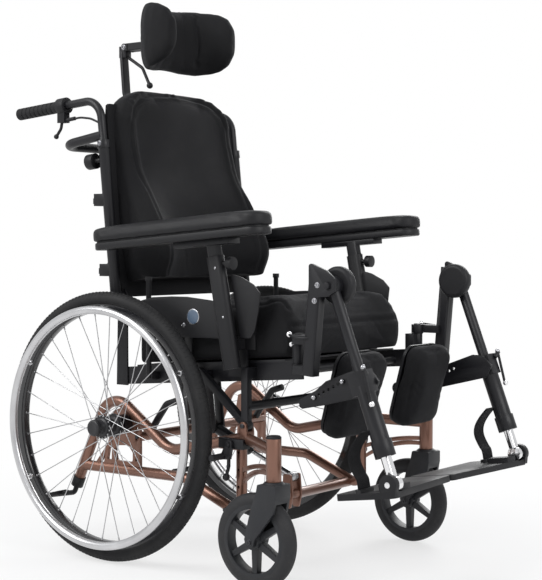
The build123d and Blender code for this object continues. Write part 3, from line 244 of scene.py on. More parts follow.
# colour and worn are the two tones, rough the range of roughness, the rest is each finish's own
finishes = {
    "tyreRubber": dict(colour=grey(0.011, 0.012), worn=grey(0.05), rough=(0.6, 0.78), scuff=0.25,
                       dust=0.05, grain=0.3, grainScale=700.0, specular=0.3),
    "casterRubber": dict(colour=grey(0.02, 0.022), worn=grey(0.07), rough=(0.55, 0.72), scuff=0.3,
                         dust=0.06, grain=0.25, specular=0.35),
    "rimBlack": dict(colour=grey(0.012, 0.014), worn=grey(0.12), rough=(0.2, 0.32), scuff=0.1,
                     coat=0.5, coatRough=0.12, grain=0.04),
    "spokeSteel": dict(colour=grey(0.5, 0.51), worn=grey(0.7), rough=(0.25, 0.4), metal=1.0, scuff=0.1,
                       grain=0.05),
    "pushRimSilver": dict(colour=grey(0.6, 0.61), worn=grey(0.45, 0.46), rough=(0.26, 0.36), metal=1.0,
                          scuff=0.2, grain=0.08, grainScale=1500.0),
    "hubBlack": dict(colour=grey(0.011, 0.013), worn=grey(0.1), rough=(0.38, 0.5), scuff=0.2, grain=0.15),
    "casterCharcoal": dict(colour=(0.019, 0.02, 0.023), worn=grey(0.08), rough=(0.4, 0.53), scuff=0.2,
                           dust=0.04, grain=0.2, specular=0.35),
    "satinBlack": dict(colour=grey(0.009, 0.011), worn=grey(0.07, 0.075), rough=(0.36, 0.48), scuff=0.12,
                       coat=0.06, coatRough=0.25, grain=0.2, grainScale=1300.0, patchScale=6.0, specular=0.3),
    "copperPaint": dict(colour=(0.215, 0.108, 0.076), worn=(0.34, 0.2, 0.15), rough=(0.3, 0.4), metal=0.72,
                        scuff=0.1, coat=0.35, coatRough=0.16, grain=0.12, grainScale=2200.0, patchScale=5.0),
    "mouldedBlack": dict(colour=grey(0.009, 0.0105), worn=grey(0.05), rough=(0.42, 0.56), scuff=0.14,
                         grain=0.4, grainScale=1100.0, specular=0.3),
    "groundSteel": dict(colour=grey(0.45, 0.46), worn=grey(0.6), rough=(0.22, 0.34), metal=1.0, scuff=0.2,
                        grain=0.05),
    "brightChrome": dict(colour=grey(0.82, 0.83), worn=grey(0.6), rough=(0.08, 0.16), metal=1.0,
                         scuff=0.2, grain=0.03),
    "boltSteel": dict(colour=grey(0.42, 0.44), worn=grey(0.4), rough=(0.18, 0.3), metal=1.0, scuff=0.2,
                      grain=0.05),
    "coverCloth": dict(colour=grey(0.0055, 0.0065), worn=grey(0.018, 0.02), rough=(0.7, 0.84), scuff=0.1,
                       weave=820.0, sheen=0.05, sheenTint=grey(0.5, 0.56), grain=0.2, grainScale=300.0,
                       specular=0.22),
    "padSkin": dict(colour=grey(0.0075, 0.009), worn=grey(0.04, 0.042), rough=(0.42, 0.56), scuff=0.1,
                    pebble=520.0, grain=0.2, specular=0.28),
    "gripRubber": dict(colour=grey(0.01, 0.011), worn=grey(0.05), rough=(0.62, 0.78), scuff=0.2,
                       grain=0.35, specular=0.3),
    "strapWebbing": dict(colour=grey(0.007, 0.008), worn=grey(0.03), rough=(0.72, 0.85), weave=520.0,
                         weaveStrength=0.7, sheen=0.05, scuff=0.1, grain=0.2, specular=0.25),
    "seamThread": dict(colour=grey(0.009, 0.01), worn=grey(0.03), rough=(0.7, 0.8), scuff=0.1, grain=0.3),
    "darkBolt": dict(colour=grey(0.05, 0.055), worn=grey(0.2), rough=(0.3, 0.42), metal=0.6, scuff=0.2,
                     grain=0.05),
    "plainBadge": dict(colour=(0.09, 0.13, 0.19), worn=(0.2, 0.22, 0.25), rough=(0.28, 0.36), scuff=0.15,
                       coat=0.4, grain=0.05),
}
material = {name: finishMaterial(name, look) for name, look in finishes.items()}

slotFinish = {
    "tyre_rubber": "tyreRubber", "rim_metal": "rimBlack", "spoke_steel": "spokeSteel", "hub_plastic": "hubBlack",
    "handrim_metal": "pushRimSilver", "caster_rubber": "casterRubber", "caster_plastic": "casterCharcoal",
    "black_paint": "satinBlack", "copper_paint": "copperPaint", "black_plastic": "mouldedBlack",
    "spring_steel": "groundSteel", "bright_steel": "brightChrome", "upholstery": "coverCloth",
    "pad_skin": "padSkin", "grip_rubber": "gripRubber", "webbing": "strapWebbing",
}
nodeSlot = {part["node"]: part["material_slot"] for part in frame["record"]["subparts"]}
for node, thing in frame["nodes"].items():
    thing.data.materials.clear()
    thing.data.materials.append(material[slotFinish[nodeSlot[node]]])
print("materials:", len(material))


def newPiece(name, mesh, finish):
    piece = bpy.data.objects.new(name, mesh)
    scene.collection.objects.link(piece)
    mesh.materials.clear()
    mesh.materials.append(material[finish])
    return piece


def softShade(mesh, sharp=34.0):
    mesh.polygons.foreach_set("use_smooth", [True] * len(mesh.polygons))
    mesh.set_sharp_from_angle(angle=radians(sharp))
    mesh.update()


def meshOf(name, points, faces, sharp=34.0):
    mesh = bpy.data.meshes.new(name)
    mesh.from_pydata([tuple(p) for p in points], [], faces)
    form = bmesh.new()
    form.from_mesh(mesh)
    bmesh.ops.remove_doubles(form, verts=form.verts, dist=1e-5)
    bmesh.ops.recalc_face_normals(form, faces=form.faces)
    form.to_mesh(mesh)
    form.free()
    softShade(mesh, sharp)
    return mesh


def plainMesh(thing, name):
    # the evaluated result as a plain mesh with nothing live on it
    graph = bpy.context.evaluated_depsgraph_get()
    mesh = bpy.data.meshes.new_from_object(thing.evaluated_get(graph), preserve_all_data_layers=True, depsgraph=graph)
    mesh.name = name
    mesh.transform(thing.matrix_world)
    return mesh


def settle(thing):
    # keeps what the modifiers made and removes them
    mesh = plainMesh(thing, thing.data.name)
    thing.modifiers.clear()
    thing.data = mesh


def meshFromHolder(name, data, prepare=None):
    # a plain mesh from curve or mesh data that stands in the scene only for a moment
    holder = bpy.data.objects.new(name, data)
    scene.collection.objects.link(holder)
    if prepare:
        prepare(holder)
    mesh = plainMesh(holder, name)
    bpy.data.objects.remove(holder)
    return mesh


def joined(name, meshes):
    form = bmesh.new()
    for mesh in meshes:
        form.from_mesh(mesh)
    result = bpy.data.meshes.new(name)
    form.to_mesh(result)
    form.free()
    return result


def mirroredMesh(mesh, name):
    other = mesh.copy()
    other.name = name
    other.transform(Matrix.Diagonal((-1, 1, 1, 1)))
    other.flip_normals()
    return other


def forSide(mesh, sign, name):
    # meshes are made for the left side and mirrored for the right
    return mesh.copy() if sign > 0 else mirroredMesh(mesh, name)


def skinned(name, rows, sharp):
    # a closed skin through rows of points, each row a loop of the same count
    count = len(rows[0])
    last = (len(rows) - 1) * count
    faces = []
    for here in range(0, last, count):
        for i in range(count):
            j = (i + 1) % count
            faces.append((here + i, here + j, here + count + j, here + count + i))
    faces += [tuple(reversed(range(count))), tuple(range(last, last + count))]
    return meshOf(name, [point for row in rows for point in row], faces, sharp)


def stackedLoops(name, loops, place, sharp=40):
    # loops are (level, outline); place turns each (x, y, level) into a point
    return skinned(name, [[place(x, y, level) for x, y in loop] for level, loop in loops], sharp)


def revolved(name, profile, steps, place, sharp):
    # profile is (along, radius) turned round an axis; place makes a point of (along, across, up)
    turns = [2 * pi * step / steps for step in range(steps)]
    points = [place(along, radius * cos(a), radius * sin(a)) for a in turns for along, radius in profile]
    count, faces = len(profile), []
    for step in range(steps):
        here, ahead = step * count, (step + 1) % steps * count
        for index in range(count):
            after = (index + 1) % count
            if max(profile[index][1], profile[after][1]) >= 0.01:
                faces.append((here + index, here + after, ahead + after, ahead + index))
    return meshOf(name, points, faces, sharp)


def lathe(name, profile, centre, steps, sharp=34.0):
    # round the x axis through centre, in mm
    return revolved(name, profile, steps, lambda along, across, up: at(
        centre[0] + along, centre[1] + across, centre[2] + up), sharp)


def arcPoints(centre, radius, start, end, count):
    turn = [radians(start + (end - start) * i / (count - 1)) for i in range(count)]
    return [(centre[0] + radius * cos(a), centre[1] + radius * sin(a)) for a in turn]


def curveThrough(name, places, kind="POLY"):
    line = bpy.data.curves.new(name, "CURVE")
    line.dimensions = "3D"
    spline = line.splines.new(kind)
    spline.points.add(len(places) - 1)
    for point, place in zip(spline.points, places):
        point.co = (*place, 1)
    if kind == "NURBS":
        spline.order_u = 3
        spline.use_endpoint_u = True
    return line


def tubeMesh(name, places, radius, sides=12, kind="POLY"):
    # a round tube along the points, with its ends closed
    line = curveThrough(name, places, kind)
    line.bevel_depth = radius / 1000
    line.bevel_resolution = sides // 4
    line.use_fill_caps = True
    line.resolution_u = 8
    mesh = meshFromHolder(name, line)
    softShade(mesh, 50)
    return mesh


def smoothLine(places, samples=10):
    line = curveThrough("line", places, "NURBS")
    line.resolution_u = samples
    return [v.co.copy() for v in meshFromHolder("line", line).vertices]


def alongLine(spine, i):
    return (spine[min(i + 1, len(spine) - 1)] - spine[max(i - 1, 0)]).normalized()


def offsetLine(spine, distance):
    result = []
    for i, place in enumerate(spine):
        along = alongLine(spine, i)
        result.append(place + Vector((0, -along.z, along.y)) * distance / 1000)
    return result


def dense(places, step):
    # the same line with a point every few mm
    result = []
    for start, end in zip(places[:-1], places[1:]):
        count = max(1, int((end - start).length * 1000 / step))
        result += [start.lerp(end, i / count) for i in range(count)]
    return result + [places[-1]]


def roundedLoop(width, length, corner, count=10):
    # outline of a rounded rectangle about 0, anticlockwise
    spots = []
    for sx, sy, start in ((1, 1, 0), (-1, 1, 90), (-1, -1, 180), (1, -1, 270)):
        spots += arcPoints((sx * (width / 2 - corner), sy * (length / 2 - corner)), corner, start, start + 90, count)
    return spots


def cadMesh(node, name, tidy=None):
    # the CAD part's mesh with its triangles merged at shared points
    source = frame["nodes"][node].data
    mesh = bpy.data.meshes.new(name)
    mesh.from_pydata([v.co[:] for v in source.vertices], [], [tuple(f.vertices) for f in source.polygons])
    form = bmesh.new()
    form.from_mesh(mesh)
    bmesh.ops.remove_doubles(form, verts=form.verts, dist=1.5e-5)
    if tidy:
        tidy(form)
    form.to_mesh(mesh)
    form.free()
    return mesh


def mergeFlats(form):
    bmesh.ops.dissolve_degenerate(form, dist=2e-5, edges=form.edges)
    bmesh.ops.dissolve_limit(form, angle_limit=radians(1.0), verts=form.verts, edges=form.edges)


def rideAs(piece, body):
    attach(piece, body)
    return piece


def standFor(piece, node):
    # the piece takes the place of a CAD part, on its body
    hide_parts(node)
    return rideAs(piece, bodyOf(node))


def softenedCopy(node, width, angle, finish=None):
    # the CAD part again, with its edges rounded off
    piece = newPiece(node + "_soft", cadMesh(node, node + "_soft", mergeFlats), finish or slotFinish[nodeSlot[node]])
    if width:
        bevel = piece.modifiers.new("soft edge", "BEVEL")
        bevel.width = width / 1000
        bevel.segments = 2
        bevel.limit_method = "ANGLE"
        bevel.angle_limit = radians(angle)
        bevel.use_clamp_overlap = True
        settle(piece)
    softShade(piece.data, 38)
    return standFor(piece, node)


def meshTree(name, inputs):
    return groupTree(name, "GeometryNodeTree", (("Geometry", "Geometry"), *inputs, ("Material", "Material")),
                     (("Geometry", "Geometry"),))


def endTree(tree, source, sink, instances):
    real = addNode(tree, "GeometryNodeRealizeInstances", {0: instances})
    paint = addNode(tree, "GeometryNodeSetMaterial", {"Geometry": real.outputs[0], "Material": source["Material"]})
    feed(tree, sink[0], paint.outputs[0])
    return tree


def scatterTree():
    # one copy of a shape on each point, its z axis along the point's own direction
    tree, source, sink = meshTree("shape on each point", (("Shape", "Object"), ("Size", "Float", 1.0)))
    aim = addNode(tree, "GeometryNodeInputNamedAttribute", {"Name": "aim"}, data_type="FLOAT_VECTOR")
    grow = addNode(tree, "GeometryNodeInputNamedAttribute", {"Name": "grow"}, data_type="FLOAT")
    shape = addNode(tree, "GeometryNodeObjectInfo", {"Object": source["Shape"]})
    turn = addNode(tree, "FunctionNodeAlignRotationToVector", {"Vector": aim.outputs[0]}, axis="Z")
    copies = addNode(tree, "GeometryNodeInstanceOnPoints", {
        "Points": source["Geometry"], "Instance": shape.outputs["Geometry"], "Rotation": turn.outputs[0],
        "Scale": calc(tree, "MULTIPLY", grow.outputs[0], source["Size"])})
    return endTree(tree, source, sink, copies.outputs[0])


def ringTree():
    # copies of a block spaced round the x axis at a radius
    tree, source, sink = meshTree("blocks round a wheel", (
        ("Block", "Object"), ("Count", "Int", 96), ("Phase", "Float", 0.0), ("Centre", "Vector", (0, 0, 0))))
    block = addNode(tree, "GeometryNodeObjectInfo", {"Object": source["Block"]})
    points = addNode(tree, "GeometryNodeMeshLine", {"Offset": (0, 0, 0), "Count": source["Count"]}, mode="OFFSET")
    index = addNode(tree, "GeometryNodeInputIndex").outputs[0]
    step = calc(tree, "DIVIDE", 2 * pi, source["Count"])
    angle = calc(tree, "MULTIPLY", calc(tree, "ADD", index, source["Phase"]), step)
    moved = addNode(tree, "GeometryNodeSetPosition", {"Geometry": points.outputs[0], "Position": source["Centre"]})
    copies = addNode(tree, "GeometryNodeInstanceOnPoints", {
        "Points": moved.outputs[0], "Instance": block.outputs["Geometry"],
        "Rotation": addNode(tree, "ShaderNodeCombineXYZ", {"X": angle}).outputs[0]})
    return endTree(tree, source, sink, copies.outputs[0])


def stitchTree():
    # short threads end to end along a line, with a gap between them
    tree, source, sink = meshTree("stitches along a line", (
        ("Pitch", "Float", 0.005), ("Thread Length", "Float", 0.0034), ("Thread Radius", "Float", 0.0005)))
    spots = addNode(tree, "GeometryNodeCurveToPoints", {"Curve": source["Geometry"], "Length": source["Pitch"]},
                    mode="LENGTH")
    thread = addNode(tree, "GeometryNodeMeshCylinder", {
        "Vertices": 6, "Radius": source["Thread Radius"], "Depth": source["Thread Length"]})
    copies = addNode(tree, "GeometryNodeInstanceOnPoints", {
        "Points": spots.outputs["Points"], "Rotation": spots.outputs["Rotation"], "Instance": thread.outputs["Mesh"]})
    return endTree(tree, source, sink, copies.outputs[0])


shapeOnPoints = scatterTree()
blocksRound = ringTree()
stitchesAlong = stitchTree()


def runTree(tree, base, values, name):
    # the tree's result on a base mesh or curve, as a plain mesh
    def prepare(holder):
        modifier = holder.modifiers.new(name, "NODES")
        modifier.node_group = tree
        for item in tree.interface.items_tree:
            if item.in_out == "INPUT" and item.name in values:
                modifier[item.identifier] = values[item.name]
    return meshFromHolder(name, base, prepare)


def blocksAround(name, block, count, phase, centre, finish):
    return runTree(blocksRound, bpy.data.meshes.new("seed"), {
        "Block": block, "Count": count, "Phase": phase, "Centre": at(*centre), "Material": material[finish]}, name)


def pointCloud(name, spots):
    # spots are (place, direction, size)
    mesh = bpy.data.meshes.new(name)
    mesh.from_pydata([tuple(p) for p, _, _ in spots], [], [])
    aim = mesh.attributes.new("aim", "FLOAT_VECTOR", "POINT")
    aim.data.foreach_set("vector", [c for _, d, _ in spots for c in Vector(d).normalized()])
    grow = mesh.attributes.new("grow", "FLOAT", "POINT")
    grow.data.foreach_set("value", [float(s) for _, _, s in spots])
    return mesh


def patternShape(name, profile, sides):
    # a small turned shape about z from (radius, height) in mm, kept out of the scene
    mesh = revolved(name, [(height, radius) for radius, height in profile], sides,
                    lambda along, across, up: Vector((across, up, along)) / 1000, 32)
    return bpy.data.objects.new(name, mesh)


def scatter(name, shape, spots, finish, body):
    mesh = runTree(shapeOnPoints, pointCloud(name, spots), {"Shape": shape, "Size": 1.0, "Material": material[finish]},
                   name)
    softShade(mesh, 32)
    return rideAs(newPiece(name, mesh, finish), body)


wheel = {
    "x": 298.6, "crown": 305.0, "tyreWidth": 35.0, "treadRoom": 1.2, "treadSink": 0.4, "treadProud": 0.7,
    "treadRoot": 1.5, "treadFlare": 1.25, "treadCount": 176, "rimSeat": 276.0,
    "rimWall": ((12.3, 276.0), (12.3, 263.5), (11.4, 261.6), (8.4, 259.2), (5.5, 258.3)),
    "rimBed": ((-12.3, 276.0), (-10.6, 277.2), (10.6, 277.2)),
    "pushRimRadius": 263.7, "pushRimTube": 9.3, "pushRimReach": 36.6, "tabs": 6, "tabRadius": 266.6,
    "tabStart": 12.2, "tabThick": 3.9, "tabFootEnd": 15.0, "tabFootThick": 6.2,
    "spokes": 16, "spokeFoot": 25.0, "spokeEnd": 260.0, "spokeLead": 67.5, "spokeWire": 1.05, "weave": 1.68,
    "flanges": (-24.0, 14.0), "firstSpoke": 3.0, "headOut": 3.0, "headSize": 0.8,
}
# each row of tread is (start, end along the axle, half width, skew, phase)
treadRows = ((-13.8, -8.6, 1.7, 0.8, 0.0), (-7.2, -1.1, 2.3, -1.6, 0.5), (1.1, 7.2, 2.3, -1.6, 0.0),
             (8.6, 13.8, 1.7, 0.8, 0.5))


def wheelCentre(sign):
    return sign * wheel["x"], 0, axleHeight


def carcassSection():
    # the tyre's round under the tread, as its middle radius and its own radius
    return (wheel["crown"] - wheel["tyreWidth"] / 2 - wheel["treadSink"],
            wheel["tyreWidth"] / 2 - wheel["treadRoom"])


def tyreRadiusAt(along):
    middle, carcass = carcassSection()
    return middle + sqrt(max(carcass ** 2 - along ** 2, 4.0))


def treadBlock(name, start, end, half, skew):
    # a block that follows the tyre's crown from start to end along the axle
    points, faces = [], []
    steps = 3
    for side in (-1, 1):
        for i in range(steps + 1):
            along = start + (end - start) * i / steps
            swing = side * half + skew * (i / steps - 0.5)
            top = tyreRadiusAt(along) + wheel["treadProud"]
            root = tyreRadiusAt(along) - wheel["treadRoot"]
            points.append(Vector((along, root, swing * wheel["treadFlare"])) / 1000)
            points.append(Vector((along, top, swing)) / 1000)
    row = 2 * (steps + 1)
    for low in range(0, 2 * steps, 2):
        high = low + 1
        faces += [(low, high, high + 2, low + 2), (row + low, row + low + 2, row + high + 2, row + high),
                  (high, row + high, row + high + 2, high + 2), (low, low + 2, row + low + 2, row + low)]
    faces += [(0, row, row + 1, 1), (row - 2, row - 1, 2 * row - 1, 2 * row - 2)]
    return bpy.data.objects.new(name, meshOf(name, points, faces, 30))


def makeTyre(side, sign):
    middle, carcass = carcassSection()
    section = arcPoints((0, middle), carcass, -42, 222, 27)
    section = [p for p in section if p[1] > wheel["rimSeat"] - 1]
    parts = [lathe(side + "TyreBody", section, wheelCentre(sign), 144, 60)]
    for index, (start, end, half, skew, phase) in enumerate(treadRows):
        block = treadBlock(f"{side}Tread{index}", start, end, half, skew)
        parts.append(blocksAround("tread", block, wheel["treadCount"], phase, wheelCentre(sign), "tyreRubber"))
    standFor(newPiece(side + "Tyre", joined(side + "Tyre", parts), "tyreRubber"), side + "_tyre")


def makeRim(side, sign):
    inward = [(-a, r) for a, r in reversed(wheel["rimWall"][1:])]
    section = [*wheel["rimBed"], *wheel["rimWall"], *inward]
    standFor(newPiece(side + "Rim", lathe(side + "Rim", section, wheelCentre(sign), 144, 25), "rimBlack"),
             side + "_rim")


def makePushRim(side, sign):
    face, reach = wheel["x"] + wheel["tabStart"], wheel["x"] + wheel["pushRimReach"]
    ring = arcPoints((0, wheel["pushRimRadius"]), wheel["pushRimTube"], 0, 345, 24)
    parts = [lathe("ring", ring, (sign * reach, 0, axleHeight), 168, 60)]
    for index in range(wheel["tabs"]):
        angle = 2 * pi * (index + 0.5) / wheel["tabs"]
        y, z = wheel["tabRadius"] * cos(angle), axleHeight + wheel["tabRadius"] * sin(angle)
        for end, thick in ((reach, wheel["tabThick"]), (wheel["x"] + wheel["tabFootEnd"], wheel["tabFootThick"])):
            parts.append(tubeMesh("tab", [at(sign * face, y, z), at(sign * end, y, z)], thick, 16))
    piece = newPiece(side + "PushRim", joined(side + "PushRim", parts), "pushRimSilver")
    softShade(piece.data, 40)
    standFor(piece, side + "_handrim")


# the hub's section is (along the axle, radius): inner flange, barrel, outer flange, quick-release knob
hub = {
    "section": ((-29, 0), (-29, 13.5), (-27.5, 15), (-26.5, 15), (-26.3, 26.2), (-25.5, 27), (-22.5, 27),
                (-21.7, 26.2), (-21.5, 20), (-17, 15.2), (-9, 14.2), (2, 14.2), (8, 15.2), (11.5, 20),
                (11.7, 26.2), (12.5, 27), (15.5, 27), (16.3, 26.2), (16.5, 20), (19, 16), (22, 15), (28, 12.6),
                (31, 12.2), (31.2, 16.6), (32.6, 18), (41.6, 18), (43.6, 17.4), (45.2, 15.2), (45.8, 12.6),
                (45.2, 10.4), (44.6, 6), (44.4, 0)),
    "axleFrom": 214, "axleTo": 271, "axleRadius": 5.9, "ribs": 30,
    # foot and top of one rib: radius, start and end along the axle, half thickness
    "rib": ((17.4, 32.6, 41.6, 1.0), (18.7, 33.2, 41.0, 0.5)),
}


def makeHub(side, sign):
    parts = [lathe("hub", [(sign * a, r) for a, r in hub["section"]], wheelCentre(sign), 72, 30),
             tubeMesh("axle", [at(sign * hub[end], 0, axleHeight) for end in ("axleFrom", "axleTo")],
                      hub["axleRadius"], 24)]
    rib = bpy.data.objects.new("rib", skinned("rib", [
        [Vector((sign * a, radius, b)) / 1000 for a, b in ((start, -half), (start, half), (end, half), (end, -half))]
        for radius, start, end, half in hub["rib"]], 34))
    parts.append(blocksAround("knobRibs", rib, hub["ribs"], 0.0, wheelCentre(sign), "hubBlack"))
    standFor(newPiece(side + "Hub", joined(side + "Hub", parts), "hubBlack"), side + "_hub")


def spokeLines(sign):
    # leading and trailing wires by turns from each flange, even round the rim
    step = 360 / wheel["spokes"]
    lines = []
    for flange, turn in zip(wheel["flanges"], (wheel["firstSpoke"], wheel["firstSpoke"] + step / 2)):
        for index in range(wheel["spokes"]):
            way = 1 if index % 2 else -1
            foot = radians(index * step + turn)
            head = foot + radians(way * wheel["spokeLead"])
            start = at(sign * (wheel["x"] + flange + way * wheel["weave"]), wheel["spokeFoot"] * cos(foot),
                       axleHeight + wheel["spokeFoot"] * sin(foot))
            end = at(sign * (wheel["x"] + way * wheel["weave"]), wheel["spokeEnd"] * cos(head),
                     axleHeight + wheel["spokeEnd"] * sin(head))
            lines.append((start, end, sign * flange))
    return lines


def makeSpokes(side, sign):
    lines = spokeLines(sign)
    wires = [tubeMesh("spoke", [start, end], wheel["spokeWire"], 8) for start, end, _ in lines]
    spokes = newPiece(side + "Spokes", joined(side + "Spokes", wires), "spokeSteel")
    softShade(spokes.data, 50)
    standFor(spokes, side + "_spokes")
    nipples = [(end, (end - start).normalized(), wheel["headSize"]) for start, end, _ in lines]
    heads = []
    for start, _, flange in lines:
        outward = 1 if flange > 0 else -1
        x = (sign * wheel["x"] + flange + outward * wheel["headOut"]) / 1000
        heads.append((Vector((x, start.y, start.z)), (outward, 0, 0), wheel["headSize"]))
    scatter(side + "Nipples", nippleShape, nipples, "spokeSteel", side + "_wheel")
    scatter(side + "SpokeHeads", spokeHead, heads, "spokeSteel", side + "_wheel")


nippleShape = patternShape("nipple", ((0, -13), (1.7, -13), (2.1, -12), (2.1, -4), (2.8, -3), (2.8, 1), (0, 1)), 10)
spokeHead = patternShape("spokeHead", ((0, -1.2), (2.4, -1.2), (2.4, 0.4), (1.6, 1.3), (0, 1.6)), 10)
screwHead = patternShape("screwHead", ((0, 0.6), (2.6, 0.6), (2.9, 1.2), (2.9, 3.0), (3.3, 3.6), (4.9, 3.6),
                                       (5.5, 3.0), (5.6, 0.4), (7.2, 0.4), (7.6, 0.0), (7.6, -1.5), (0, -1.5)), 18)
domeHead = patternShape("domeHead", ((0, 4.4), (2.0, 4.2), (4.0, 3.2), (5.4, 1.6), (6.0, 0.0), (6.0, -1.5),
                                     (0, -1.5)), 18)
hexNut = patternShape("hexNut", ((0, 4.0), (3.2, 4.0), (3.3, 4.6), (5.6, 4.6), (6.6, 4.0), (6.6, 0.0), (6.6, -1.0),
                                 (0, -1.0)), 6)

for side, sign in sides:
    makeTyre(side, sign)
    makeRim(side, sign)
    makePushRim(side, sign)
    makeHub(side, sign)
    makeSpokes(side, sign)
print("rear wheels done")

caster = {
    "x": 302.0, "y": -431.0, "z": 100.0, "width": 30.0, "seat": 76.0, "capAt": 11.4, "boltAt": 27.0, "boltSize": 0.9,
    "cap": ((2, 0), (2, 11), (4.4, 14.2), (6.2, 13.4), (6.6, 9), (6.0, 5.5), (6.0, 0)),
}


def makeCaster(side, sign):
    half = caster["width"] / 2
    wall = [(half - 0.8, 88), (half, 84), (half - 0.2, 80), (half - 1, caster["seat"])]
    crown = [(a * 0.98, min(r, 99.8)) for a, r in arcPoints((0, 86.4), 14.0, 165, 15, 17)]
    section = [(-a, r) for a, r in reversed(wall)] + crown + wall
    section = [(a, r if r < 99 else 99.4 + 0.5 * (1 - (a / 6) ** 2)) for a, r in section]
    centre = (sign * caster["x"], caster["y"], caster["z"])
    standFor(newPiece(side + "CasterTyre", lathe(side + "CasterTyre", section, centre, 96, 50), "casterRubber"),
             side + "_caster_tyre")
    softenedCopy(side + "_caster_wheel", 1.2, 32)
    softenedCopy(side + "_fork", 1.6, 30, "casterCharcoal")
    caps = [lathe("cap", [(s * a, r) for a, r in caster["cap"]], (centre[0] + s * caster["capAt"], *centre[1:]), 40)
            for s in (-1, 1)]
    rideAs(newPiece(side + "BearingCaps", joined("caps", caps), "hubBlack"), side + "_caster")
    bolts = [(at(centre[0] + s * caster["boltAt"], *centre[1:]), (s, 0, 0), caster["boltSize"]) for s in (-1, 1)]
    scatter(side + "AxleBolts", screwHead, bolts, "darkBolt", side + "_swivel")


for side, sign in sides:
    makeCaster(side, sign)
print("casters done")

# width of the rounded edge in mm and the least angle that it is cut on
softEdges = {
    "frame_left": (0.7, 34), "frame_right": (0.7, 34), "cross_tubes": (0.6, 34), "caps_and_pedals": (0.8, 32),
    "base_brackets": (0.9, 32), "seat_supports": (1.2, 30), "left_brake_lever": (0.8, 32),
    "right_brake_lever": (0.8, 32), "spring_rod": (0.4, 34), "spring_cylinder": (0.7, 32), "seat_frame": (0.9, 32),
    "arm_sockets": (0.8, 34), "side_panels": (1.0, 30), "back_frame": (0.7, 34), "back_fittings": (1.4, 30),
    "rear_bar": (0.0, 34), "push_grips": (0.9, 30), "left_hand_lever": (0.5, 36), "right_hand_lever": (0.5, 36),
    "head_post": (0.8, 34), "head_bracket": (1.6, 30),
}
sideEdges = {
    "arm_post": (0.8, 34), "hanger": (0.9, 34), "leg_tube": (0.9, 34), "knee_cover": (0.0, 40),
    "calf_arm": (0.9, 32), "foot_tube": (0.5, 34), "footplate": (1.5, 30),
}
for side, _ in sides:
    softEdges.update({f"{side}_{node}": edge for node, edge in sideEdges.items()})
for node, (width, angle) in softEdges.items():
    softenedCopy(node, width, angle, "brightChrome" if "foot_tube" in node else None)
print("rigid parts softened")

# slopes in degrees and the heights in mm that the seat line and the canes pass through
seatSlope, seatLineY, seatLineZ = 4.4, -230.0, 432.0
backLean, caneFootY, caneFootZ = 6.05, 25.0, 600.0


def slope(y, height=0.0):
    return seatLineZ + height + (seatLineY - y) * tan(radians(seatSlope))


def caneY(z):
    return caneFootY + (z - caneFootZ) * tan(radians(backLean))


def pointsOf(mesh):
    flat = np.empty(len(mesh.vertices) * 3, np.float64)
    mesh.vertices.foreach_get("co", flat)
    return flat.reshape(-1, 3)


def normalsOf(mesh):
    flat = np.empty(len(mesh.vertices) * 3, np.float32)
    mesh.vertex_normals.foreach_get("vector", flat)
    return flat.reshape(-1, 3).astype(np.float64)


def setPoints(mesh, points):
    mesh.vertices.foreach_set("co", points.astype(np.float32).ravel())
    mesh.update()


def remeshed(piece, voxel, smoothing, shrink=0.0):
    cells = piece.modifiers.new("even mesh", "REMESH")
    cells.mode = "VOXEL"
    cells.voxel_size = voxel / 1000
    settle(piece)
    relax = piece.modifiers.new("relax", "SMOOTH")
    relax.factor = 0.5
    relax.iterations = smoothing
    settle(piece)
    if shrink:
        setPoints(piece.data, pointsOf(piece.data) - normalsOf(piece.data) * shrink / 1000)


fabric = {"quality": 4, "mass": 0.3, "tension_stiffness": 12, "compression_stiffness": 12, "shear_stiffness": 6,
          "bending_stiffness": 0.6, "use_pressure": True}


def puffed(piece, cap, held=None, pressure=4.0, frames=20):
    # air pressure swells the cover; no point moves further than the cap, in mm
    rest = pointsOf(piece.data)
    cloth = piece.modifiers.new("swell", "CLOTH")
    for setting, value in fabric.items():
        setattr(cloth.settings, setting, value)
    if held is not None:
        group = piece.vertex_groups.new(name="held")
        still = held((rest[:, 1] - axleY) * 1000, rest[:, 2] * 1000)
        group.add([int(i) for i in np.nonzero(still)[0]], 1.0, "REPLACE")
        cloth.settings.vertex_group_mass = "held"
    cloth.settings.uniform_pressure_force = pressure
    cloth.settings.effector_weights.gravity = 0
    cloth.collision_settings.use_collision = False
    cloth.collision_settings.use_self_collision = False
    cloth.point_cache.frame_start = 1
    cloth.point_cache.frame_end = frames
    for step in range(1, frames + 1):
        scene.frame_set(step)
    graph = bpy.context.evaluated_depsgraph_get()
    moved = pointsOf(piece.evaluated_get(graph).data) - rest
    length = np.linalg.norm(moved, axis=1, keepdims=True)
    limit = cap / 1000
    soft = limit * np.tanh(length / limit) / np.maximum(length, 1e-9)
    piece.modifiers.clear()
    piece.vertex_groups.clear()
    setPoints(piece.data, rest + moved * soft)
    scene.frame_set(1)


def finer(piece):
    divide = piece.modifiers.new("finer", "SUBSURF")
    divide.levels = 1
    divide.render_levels = 1
    settle(piece)
    softShade(piece.data, 80)


